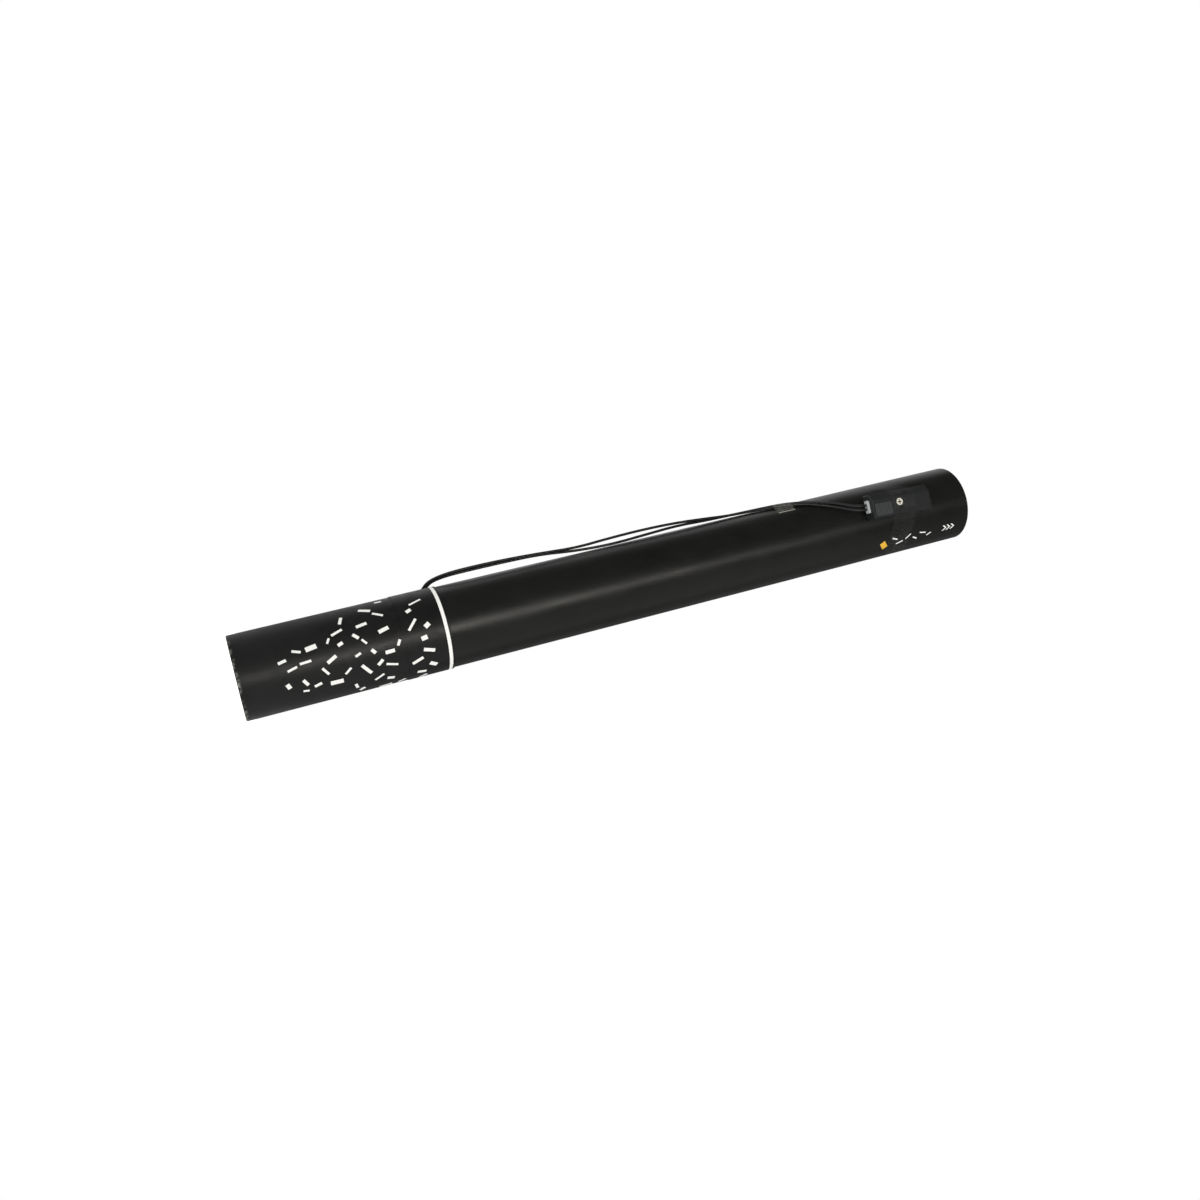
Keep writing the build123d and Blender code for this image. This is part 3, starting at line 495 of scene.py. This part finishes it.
def screw_material():
    """Pale plated screw, with painted shade in the recess of its head."""
    made = material("screw_nickel", srgb(235, 232, 218), 0.34, metal=0.2, grain=0.3 * MM, tone=0.07,
                    bump=0.008 * MM)
    tree, shader = parts_of(made)
    way = around(PLUG_ROLL, 1.0, 0.0)
    top = max(vertex.co.dot(way) for vertex in nodes["plug_screw"].data.vertices)
    # Painted shade: the plating turns dark in the recess, deeper below the head's top
    recess_painted_shade = remap(tree, plug_outward(tree), top - RECESS_PAINTED_SHADE[0], top - RECESS_PAINTED_SHADE[1], 0.0, 1.0)
    plate = two_tone(tree, surface_noise(tree, 0.3 * MM), srgb(222, 219, 204), srgb(243, 240, 228))
    tree.links.new(mixed(tree, recess_painted_shade, plate, srgb(62, 58, 46)), shader.inputs["Base Color"])
    return made


def tape_material():
    """Clear film, with a painted highlight in a pale colour along its edge."""
    made = material("tape_clear", srgb(150, 150, 146), 0.14, specular=0.6, grain=3.0 * MM, tone=0.10,
                    bump=0.05 * MM, coat=0.4)
    tree, shader = parts_of(made)
    edge = node(tree, "ShaderNodeAttribute", attribute_name="film_edge_painted_highlight")
    # Painted highlight: the film's edge is drawn pale and more opaque, standing in for light caught along it
    tree.links.new(remap(tree, edge.outputs["Fac"], 0.0, 1.0, *TAPE_COVER), shader.inputs["Alpha"])
    film = two_tone(tree, surface_noise(tree, 3 * MM), srgb(140, 140, 136), srgb(165, 165, 160))
    tree.links.new(mixed(tree, edge.outputs["Fac"], film, srgb(225, 220, 200)), shader.inputs["Base Color"])
    return made


def build_materials():
    """One finish for each of the record's material slots, and those of the print and the faint film."""
    return {
        "tube_black": tube_material(),
        "label_black": label_material(),
        "confetti_silver": confetti_material(),
        "cap_black": material("cap_black", srgb(26, 26, 26), 0.52, grain=0.35 * MM, bump=0.02 * MM),
        "foam_black": material("foam_black", srgb(30, 30, 32), 0.92, specular=0.2, grain=0.7 * MM, tone=0.35,
                               bump=0.25 * MM),
        "can_metal": material("can_metal", srgb(212, 213, 215), 0.30, metal=1.0, grain=0.25 * MM, tone=0.05,
                              bump=0.004 * MM, stretch=(1, 1, 0.02)),
        "card_brown": material("card_brown", srgb(168, 138, 104), 0.86, specular=0.25, grain=0.5 * MM,
                               tone=0.16, bump=0.05 * MM, stretch=(1, 1, 0.3)),
        "seal_rubber": material("seal_rubber", srgb(27, 27, 28), 0.62, grain=0.4 * MM, bump=0.02 * MM),
        "housing_nylon": material("housing_nylon", srgb(206, 203, 194), 0.46, grain=0.5 * MM, tone=0.04),
        "valve_brass": material("valve_brass", srgb(222, 190, 122), 0.26, metal=1.0, grain=0.2 * MM,
                                tone=0.08, bump=0.004 * MM, stretch=(0.05, 0.05, 1)),
        "lever_steel": material("lever_steel", srgb(186, 187, 190), 0.32, metal=1.0, grain=0.2 * MM,
                                tone=0.08, bump=0.006 * MM, stretch=(0.05, 1, 1)),
        "thread_nylon": material("thread_nylon", srgb(222, 222, 214), 0.55, grain=0.15 * MM, sheen=0.3),
        "heater_ceramic": material("heater_ceramic", srgb(150, 116, 92), 0.42, grain=0.3 * MM, tone=0.14),
        "lead_sleeving": material("lead_sleeving", srgb(176, 52, 38), 0.45, grain=0.6 * MM, tone=0.08),
        "pusher_plastic": material("pusher_plastic", srgb(222, 222, 218), 0.44, grain=0.6 * MM, tone=0.04),
        "pusher_felt": material("pusher_felt", srgb(176, 174, 168), 0.95, specular=0.1, grain=0.35 * MM,
                                tone=0.25, bump=0.18 * MM, sheen=0.4),
        "wire_black": material("wire_black", srgb(19, 19, 19), 0.30, specular=0.45, grain=2.5 * MM, tone=0.15,
                               bump=0.02 * MM),
        "tape_clear": tape_material(),
        "tape_faint": material("tape_faint", srgb(120, 121, 120), 0.20, specular=0.2, grain=3.0 * MM,
                               tone=0.10, bump=0.06 * MM, alpha=0.02),
        "plug_grey": plug_material(),
        "screw_nickel": screw_material(),
        "nut_steel": material("nut_steel", srgb(200, 200, 200), 0.34, metal=1.0, grain=0.3 * MM, tone=0.07,
                              bump=0.008 * MM),
        "contact_brass": material("contact_brass", srgb(225, 203, 150), 0.24, metal=1.0, grain=0.2 * MM,
                                  tone=0.06, bump=0.004 * MM),
        "carrier_white": material("carrier_white", srgb(216, 216, 213), 0.46, grain=0.4 * MM, tone=0.05),
        "clamp_grey": material("clamp_grey", srgb(188, 191, 192), 0.48, grain=0.4 * MM, tone=0.07,
                               bump=0.02 * MM),
        "print_amber": material("print_amber", srgb(226, 172, 40), 0.50, grain=0.5 * MM, tone=0.08,
                                bump=0.003 * MM),
        "print_white": material("print_white", srgb(244, 243, 239), 0.50, grain=0.5 * MM, tone=0.05,
                                bump=0.003 * MM),
    }


materials = build_materials()
for entry in frame["record"]["subparts"]:
    slots = nodes[entry["node"]].data.materials
    slots.clear()
    slots.append(materials[entry["material_slot"]])


def dress(piece, finish, body, *stands_for):
    """Give a piece its finish and its body, and hide the CAD nodes that it stands for."""
    piece.data.materials.append(materials[finish])
    if stands_for:
        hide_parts(*stands_for)
    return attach(piece, body)


# Camera
camera_data = bpy.data.cameras.new("camera")
camera_data.lens = CAMERA_LENS
camera_data.sensor_width = CAMERA_SENSOR
camera = bpy.data.objects.new("camera", camera_data)
bpy.context.scene.collection.objects.link(camera)
forward = PICTURE_RIGHT.cross(PICTURE_DOWN)
axes = Matrix((PICTURE_RIGHT, -PICTURE_DOWN, -forward)).transposed()
camera.matrix_world = Matrix.Translation(CAMERA_PLACE) @ axes.to_4x4()
bpy.context.scene.camera = camera


# The lead
def wire(name, points):
    """Round wire on one smooth line led by its points."""
    curve = bpy.data.curves.new(name, "CURVE")
    curve.dimensions = "3D"
    curve.bevel_depth = WIRE_DIAMETER / 2
    curve.bevel_resolution = WIRE_BEVEL_STEPS
    curve.use_fill_caps = True
    spline = curve.splines.new("NURBS")
    spline.points.add(len(points) - 1)
    for control, point in zip(spline.points, points):
        control.co = (*point, 1)
    spline.order_u = 3
    spline.use_endpoint_u = True
    spline.resolution_u = WIRE_LINE_STEPS
    piece = bpy.data.objects.new(name, curve)
    bpy.context.scene.collection.objects.link(piece)
    return piece


def centre_line(piece):
    """Points along a wire's own smooth line."""
    bare = piece.copy()
    bare.data = piece.data.copy()
    bare.data.bevel_depth = 0
    line = bpy.data.meshes.new_from_object(bare)
    points = [v.co.copy() for v in line.vertices]
    bpy.data.meshes.remove(line)
    bpy.data.objects.remove(bare)
    return points


wires = {name: wire(name, points) for name, points in WIRE_ROUTES.items()}
lines = {name: centre_line(piece) for name, piece in wires.items()}
for name, piece in wires.items():
    dress(piece, "wire_black", "cannon", "lead_" + name)


# Clear tape over the lead
def line_at(points, z):
    """Angle and radius of a wire at a height."""
    nearest = min(points, key=lambda p: abs(p.z - z))
    return math.degrees(math.atan2(nearest.x, -nearest.y)), math.hypot(nearest.x, nearest.y)


def lead_tape():
    """Film stuck to the barrel, with a ridge over each wire."""
    low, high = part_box("tape_lead")
    base = BARREL_RADIUS + FILM_LIFT
    points = []
    for row in range(LEAD_TAPE_ROWS):
        z = low.z + (high.z - low.z) * row / (LEAD_TAPE_ROWS - 1)
        places = [line_at(points_of, z) for points_of in lines.values()]
        for column in range(LEAD_TAPE_COLUMNS):
            share = column / (LEAD_TAPE_COLUMNS - 1)
            angle = LEAD_TAPE_ANGLES[0] + share * (LEAD_TAPE_ANGLES[1] - LEAD_TAPE_ANGLES[0])
            rise = 0.0
            for wire_angle, wire_radius in places:
                away = abs(math.radians(angle - wire_angle)) * BARREL_RADIUS
                top = wire_radius + WIRE_DIAMETER / 2 + FILM_LIFT - base
                fall = smooth((away - WIRE_DIAMETER / 4) / LEAD_TAPE_REACH)
                rise = max(rise, top * (1 - fall))
            points.append(around(angle, base + rise, z))
    piece = mesh_piece("tape_film_lead", points, grid_faces(LEAD_TAPE_ROWS, LEAD_TAPE_COLUMNS))
    # Painted highlight on the film's first columns along its edge
    highlight_edge = piece.data.attributes.new("film_edge_painted_highlight", "FLOAT", "POINT")
    painted_highlight = [1.0 if index % LEAD_TAPE_COLUMNS < LEAD_TAPE_HIGHLIGHT_COLUMNS else 0.0 for index in range(len(points))]
    highlight_edge.data.foreach_set("value", painted_highlight)
    thicken(piece, FILM, -1.0)
    return dress(piece, "tape_clear", "cannon", "tape_lead")


def rounded(outline, passes):
    """Outline with its corners cut in turn, so that a film bends softly over an edge."""
    for _ in range(passes):
        cut = [outline[0]]
        for first, second in zip(outline, outline[1:]):
            cut += [first.lerp(second, CORNER_CUT), first.lerp(second, 1 - CORNER_CUT)]
        outline = cut + [outline[-1]]
    return outline


def plug_tape():
    """Film from the barrel over the connector's bevel and face, and back to the barrel."""
    low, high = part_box("tape_plug")
    middle = (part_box("plug_base")[0].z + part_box("plug_base")[1].z) / 2
    base = BARREL_RADIUS + FILM_LIFT
    rolled = Matrix.Rotation(math.radians(PLUG_ROLL), 3, "Z")
    top = -PLUG_SEAT - PLUG_HEIGHT - PLUG_TAPE_LIFT
    shoulder = -PLUG_SEAT - PLUG_SIDE - PLUG_TAPE_LIFT
    run = PLUG_TAPE_FOOT - PLUG_TAPE_END
    foot = [PLUG_TAPE_END + run * step / PLUG_TAPE_STEPS for step in range(PLUG_TAPE_STEPS + 1)]
    points = []
    for row in range(PLUG_TAPE_ROWS):
        z = low.z + (high.z - low.z) * row / (PLUG_TAPE_ROWS - 1)
        lean = math.tan(math.radians(PLUG_SKEW)) * (z - middle)
        right = [around(angle, base, z) for angle in foot]
        left = [around(-angle, base, z) for angle in reversed(foot)]
        crown = [
            Vector((PLUG_SPAN[1] + PLUG_TAPE_SLACK + lean, top, z)),
            Vector((PLUG_FACE_EDGE - PLUG_TAPE_SLACK + lean, top, z)),
            Vector((PLUG_SPAN[0] - PLUG_TAPE_SLACK + lean, shoulder, z)),
        ]
        crown = [rolled @ corner for corner in crown]
        points += right[:-1] + rounded([right[-1], *crown, left[0]], PLUG_TAPE_PASSES) + left[1:]
    columns = len(points) // PLUG_TAPE_ROWS
    piece = mesh_piece("tape_film_plug", points, grid_faces(PLUG_TAPE_ROWS, columns))
    thicken(piece, FILM, 1.0)
    return dress(piece, "tape_faint", "cannon", "tape_plug")


lead_film = lead_tape()
plug_film = plug_tape()


# Printed marks
def print_strip(name, pairs_of_rows, radius):
    """Thin print on a round surface: each row is a list of (angle, low height, high height)."""
    points, faces = [], []
    for row in pairs_of_rows:
        start = len(points)
        points += [around(angle, radius, z) for angle, z, _ in row]
        points += [around(angle, radius, z) for angle, _, z in row]
        faces += grid_faces(2, len(row), start)
    return mesh_piece(name, points, faces)


stripe_span = (STRIPE_CENTRE - STRIPE_WIDTH / 2, STRIPE_CENTRE + STRIPE_WIDTH / 2)
stripe_row = [(step * 360 / STRIPE_STEPS, *stripe_span) for step in range(STRIPE_STEPS + 1)]
dress(print_strip("print_stripe", [stripe_row], HEM_RADIUS + PRINT_LIFT), "print_white", "cannon")

chevron_rows = []
for index in range(CHEVRON_COUNT):
    chevron_row = []
    for step in range(2 * CHEVRON_STEPS + 1):
        share = step / CHEVRON_STEPS
        z = CHEVRON_BASE + index * CHEVRON_PITCH + CHEVRON_DEPTH * (1 - abs(1 - share))
        angle = CHEVRON_ANGLES[0] + (CHEVRON_ANGLES[1] - CHEVRON_ANGLES[0]) * share / 2
        chevron_row.append((angle, z, z + CHEVRON_STROKE))
    chevron_rows.append(chevron_row)
dress(print_strip("print_chevrons", chevron_rows, BARREL_RADIUS + PRINT_LIFT), "print_white", "cannon")


def spray_slips(draw):
    """Middle, half sizes and turn of each printed slip, none over another or over the sleeve's hem."""
    slips = []
    for _ in range(SPRAY_TRIES):
        if len(slips) == SPRAY_COUNT:
            break
        way = math.radians(draw.uniform(-SPRAY_FAN, SPRAY_FAN))
        reach = draw.uniform(*SPRAY_REACH)
        size = (draw.uniform(*SPRAY_LENGTHS) / 2, draw.uniform(*SPRAY_WIDTHS) / 2)
        middle = Vector((math.sin(way) * reach, SPRAY_FROM[1] + math.cos(way) * reach))
        room = math.hypot(*size)
        if abs(middle.y - HEM_FOOT) < room + SPRAY_GAP or middle.y + room > SPRAY_TOP:
            continue
        if any((middle - other).length < room + other_room + SPRAY_GAP for other, _, _, other_room in slips):
            continue
        slips.append((middle, size, way + draw.uniform(-SPRAY_TURN, SPRAY_TURN), room))
    return slips


def lay_slip(points, faces, radius, angle, height, size, turn):
    """Lay one printed slip on a round surface: its middle, half sizes and turn."""
    start = len(points)
    for row in range(PRINT_STEPS):
        for column in range(PRINT_STEPS):
            a = (row / (PRINT_STEPS - 1) * 2 - 1) * size[0]
            b = (column / (PRINT_STEPS - 1) * 2 - 1) * size[1]
            arc = a * math.sin(turn) + b * math.cos(turn)
            z = height + a * math.cos(turn) - b * math.sin(turn)
            points.append(around(angle + math.degrees(arc / radius), radius, z))
    faces += grid_faces(PRINT_STEPS, PRINT_STEPS, start)


def spray(draw):
    """Printed slips laid on the round label."""
    points, faces = [], []
    for middle, size, turn, _ in spray_slips(draw):
        radius = (HEM_RADIUS if middle.y > HEM_FOOT else SLEEVE_RADIUS) + PRINT_LIFT
        angle = SPRAY_FROM[0] + math.degrees(middle.x / radius)
        lay_slip(points, faces, radius, angle, middle.y, size, turn)
    return mesh_piece("print_spray", points, faces)


def muzzle_slips(name, slips):
    """Printed slips laid on the barrel by the muzzle."""
    points, faces = [], []
    radius = BARREL_RADIUS + PRINT_LIFT
    for angle, z, length, width, turn in slips:
        lay_slip(points, faces, radius, angle, z, (length / 2, width / 2), math.radians(turn))
    return mesh_piece(name, points, faces)


for finish, slips in MUZZLE_SLIPS.items():
    dress(muzzle_slips("muzzle_" + finish, slips), finish, "cannon")
dress(spray(random.Random(SEED)), "print_white", "cannon")


# Confetti
def add_slip(points, faces, tones, middle, across, length, draw):
    """One upright slip: middle of its lower edge, direction across it, length."""
    start = len(points)
    normal = across.cross(Vector((0, 0, 1)))
    bow = draw.uniform(-SLIP_BOW, SLIP_BOW)
    tilt = draw.uniform(-SLIP_BOW, SLIP_BOW)
    for row in range(SLIP_ROWS):
        share = row / (SLIP_ROWS - 1)
        sway = tilt * (share - 0.5)
        rise = Vector((0, 0, share * length))
        for side in SLIP_SIDES:
            dish = bow * (1 - 4 * side * side)
            points.append(middle + across * side * SLIP_WIDTH + normal * (dish + sway) + rise)
    made = grid_faces(SLIP_ROWS, len(SLIP_SIDES), start)
    faces += made
    tones += [draw.random()] * len(made)


def confetti_pack(index, draw):
    """Three stacks of slips: one across the bore and one on either side of it."""
    low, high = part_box(f"confetti_pack_{index}")
    points, faces, tones = [], [], []
    x_axis, y_axis = Vector((1, 0, 0)), Vector((0, 1, 0))
    half = SLIP_WIDTH / 2
    stacks = [
        (x_axis, y_axis, low.y, high.y),
        (y_axis, x_axis, low.x, -half),
        (y_axis, x_axis, half, high.x),
    ]
    for across, along, first, last in stacks:
        count = int((last - first - SLIP_INSET * 2) / SLIP_PITCH)
        for step in range(count + 1):
            place = first + SLIP_INSET + (last - first - SLIP_INSET * 2) * step / count
            foot = low.z + SLIP_STRAY * draw.random()
            length = high.z - low.z - SLIP_STRAY * 2
            across_stray = draw.uniform(-SLIP_SIDE_STRAY, SLIP_SIDE_STRAY)
            middle = along * place + across * across_stray + Vector((0, 0, foot))
            add_slip(points, faces, tones, middle, across, length, draw)
    piece = mesh_piece(f"confetti_slips_{index}", points, faces)
    attribute = piece.data.attributes.new("slip_tone", "FLOAT", "FACE")
    attribute.data.foreach_set("value", tones)
    thicken(piece, SLIP_FILM, 0.0)
    return dress(piece, "confetti_silver", "charge", f"confetti_pack_{index}")


draw = random.Random(SEED)
for index in range(PACKS):
    confetti_pack(index + 1, draw)


# Soft discs
def turned_disc(name, radius, low, high, edge, crown):
    """Round pad with soft edges and a slight crown on both faces."""
    radii = [(radius - edge) * step / DISC_RINGS for step in range(DISC_RINGS + 1)]
    middle = (low + high) / 2
    flat = (high - low) / 2 - crown - edge
    half_way = DISC_EDGE_STEPS // 2
    profile = [(r, low + crown * (r / radius) ** 2) for r in radii]
    for step in range(1, DISC_EDGE_STEPS):
        turn = math.pi * step / DISC_EDGE_STEPS
        side = flat if step < half_way else -flat if step > half_way else 0.0
        profile.append((radius - edge + edge * math.sin(turn), middle - math.cos(turn) * edge - side))
    profile += [(r, high - crown * (r / radius) ** 2) for r in reversed(radii)]
    points = []
    for r, z in profile[1:-1]:
        for step in range(DISC_STEPS):
            points.append(around(step * 360 / DISC_STEPS, r, z))
    rows = len(profile) - 2
    faces = grid_faces(rows, DISC_STEPS, closed=True)
    points += [Vector((0, 0, profile[0][1])), Vector((0, 0, profile[-1][1]))]
    last = (rows - 1) * DISC_STEPS
    for step in range(DISC_STEPS):
        after = (step + 1) % DISC_STEPS
        faces.append((rows * DISC_STEPS, after, step))
        faces.append((rows * DISC_STEPS + 1, last + step, last + after))
    return mesh_piece(name, points, faces)


foam_low, foam_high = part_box("muzzle_disc")
foam = turned_disc("muzzle_foam", foam_high.x, foam_low.z, foam_high.z, FOAM_ROUND, FOAM_CROWN)
dress(foam, "foam_black", "disc", "muzzle_disc")
felt_low, felt_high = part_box("pusher_pad")
felt = turned_disc("pusher_felt_pad", felt_high.x, felt_low.z, felt_high.z, FELT_ROUND, 0.0)
dress(felt, "pusher_felt", "pusher", "pusher_pad")


# Fusible thread: two twisted plies round the lever's tip and the anchor
def thread_loop():
    """Closed loop of two twisted plies in the space of the CAD thread."""
    low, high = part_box("fuse_thread")
    centre = (low + high) / 2
    heading = math.radians(THREAD_HEADING)
    across = Vector((-math.sin(heading), math.cos(heading), 0))
    outward = Vector((across.y, -across.x, 0))
    straight = (high.z - low.z) / 2 - THREAD_REACH - THREAD_RADIUS
    ply = THREAD_RADIUS * THREAD_PLY
    lay = ply * THREAD_LAY
    points, faces = [], []
    for strand in (0, 1):
        start = len(points)
        for step in range(THREAD_STEPS):
            share = step / THREAD_STEPS
            turn = share * 2 * math.pi
            radial = (across * math.cos(turn) + Vector((0, 0, math.sin(turn)))).normalized()
            ring = radial * THREAD_REACH
            ring.z += straight * smooth((math.sin(turn) + THREAD_BEND) / (2 * THREAD_BEND)) * 2 - straight
            spin = share * THREAD_TURNS * 2 * math.pi + strand * math.pi
            offset = radial * math.cos(spin) * lay + outward * math.sin(spin) * lay
            for side in range(THREAD_SIDES):
                roll = side * 2 * math.pi / THREAD_SIDES
                skin = radial * math.cos(roll) * ply + outward * math.sin(roll) * ply
                points.append(centre + ring + offset + skin)
        faces += grid_faces(THREAD_STEPS, THREAD_SIDES, start, closed=True)
        last = start + (THREAD_STEPS - 1) * THREAD_SIDES
        for side in range(THREAD_SIDES):
            after = (side + 1) % THREAD_SIDES
            faces.append((last + side, last + after, start + after, start + side))
    return mesh_piece("thread_loop", points, faces)


thread = thread_loop()
thread.data.materials.append(materials["thread_nylon"])
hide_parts("fuse_thread")
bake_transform(thread)


# Floor, world and lamps
def emission_floor():
    """Pale floor that stays white where it is lit and keeps the shadow."""
    made = bpy.data.materials.new("floor_white")
    made.use_nodes = True
    tree = made.node_tree
    shader = tree.nodes["Principled BSDF"]
    shader.inputs["Base Color"].default_value = (*FLOOR_TONE, 1)
    shader.inputs["Roughness"].default_value = FLOOR_ROUGHNESS
    shader.inputs["Specular IOR Level"].default_value = 0.0
    path = node(tree, "ShaderNodeLightPath")
    glow = node(tree, "ShaderNodeEmission")
    level = node(tree, "ShaderNodeMath", operation="MULTIPLY")
    level.inputs[1].default_value = FLOOR_GLOW
    tree.links.new(path.outputs["Is Camera Ray"], level.inputs[0])
    tree.links.new(level.outputs["Value"], glow.inputs["Strength"])
    both = node(tree, "ShaderNodeAddShader")
    output = tree.nodes["Material Output"]
    tree.links.new(shader.outputs["BSDF"], both.inputs[0])
    tree.links.new(glow.outputs["Emission"], both.inputs[1])
    tree.links.new(both.outputs["Shader"], output.inputs["Surface"])
    return made


floor_corners = [(x * FLOOR_HALF, y * FLOOR_HALF, 0) for x, y in ((-1, -1), (1, -1), (1, 1), (-1, 1))]
floor = mesh_piece("floor", floor_corners, [(0, 1, 2, 3)])
floor.data.materials.append(emission_floor())


def studio_world():
    """White for the camera, an even pale room for matt surfaces and a dim one for gloss."""
    world = bpy.data.worlds.new("studio")
    bpy.context.scene.world = world
    world.use_nodes = True
    tree = world.node_tree
    background = tree.nodes["Background"]
    background.inputs["Color"].default_value = (1, 1, 1, 1)
    path = node(tree, "ShaderNodeLightPath")
    place = node(tree, "ShaderNodeTexCoord")
    split = node(tree, "ShaderNodeSeparateXYZ")
    tree.links.new(place.outputs["Generated"], split.inputs["Vector"])
    gloss = remap(tree, split.outputs["Y"], *GLOSS_SPAN, *GLOSS_LEVELS)
    room = node(tree, "ShaderNodeMix", data_type="FLOAT")
    room.inputs["A"].default_value = ROOM_LEVEL
    tree.links.new(path.outputs["Is Glossy Ray"], room.inputs["Factor"])
    tree.links.new(gloss, room.inputs["B"])
    seen = node(tree, "ShaderNodeMath", operation="MAXIMUM")
    tree.links.new(path.outputs["Is Camera Ray"], seen.inputs[0])
    tree.links.new(path.outputs["Is Transmission Ray"], seen.inputs[1])
    level = node(tree, "ShaderNodeMath", operation="MAXIMUM")
    tree.links.new(seen.outputs["Value"], level.inputs[0])
    tree.links.new(room.outputs["Result"], level.inputs[1])
    tree.links.new(level.outputs["Value"], background.inputs["Strength"])


studio_world()


def lamp(name, turn, away, height, size, radiance, colour=(1, 1, 1)):
    """Soft lamp at an angle round the barrel, facing its axis; radiance is the brightness of its face."""
    data = bpy.data.lights.new(name, "AREA")
    data.shape = "RECTANGLE"
    data.size, data.size_y = size
    data.energy = radiance * math.pi * size[0] * size[1]
    data.color = colour
    piece = bpy.data.objects.new(name, data)
    bpy.context.scene.collection.objects.link(piece)
    place = around(turn, away, height)
    back = around(turn, 1.0, 0.0)
    side = Vector((0, 0, 1)).cross(back)
    facing = Matrix((side, back.cross(side), back)).transposed()
    piece.matrix_world = Matrix.Translation(place) @ facing.to_4x4()
    piece.visible_camera = False


for name, away, top, radiance in STRIP_STEPS:
    strip_size = (STRIP_WIDTH, top - STRIP_FOOT)
    lamp(name, STRIP_ANGLE, away, (top + STRIP_FOOT) / 2, strip_size, radiance, STRIP_COLOUR)
for soft_lamp in SOFT_LAMPS:
    lamp(*soft_lamp)

bpy.context.scene.view_settings.view_transform = "Standard"
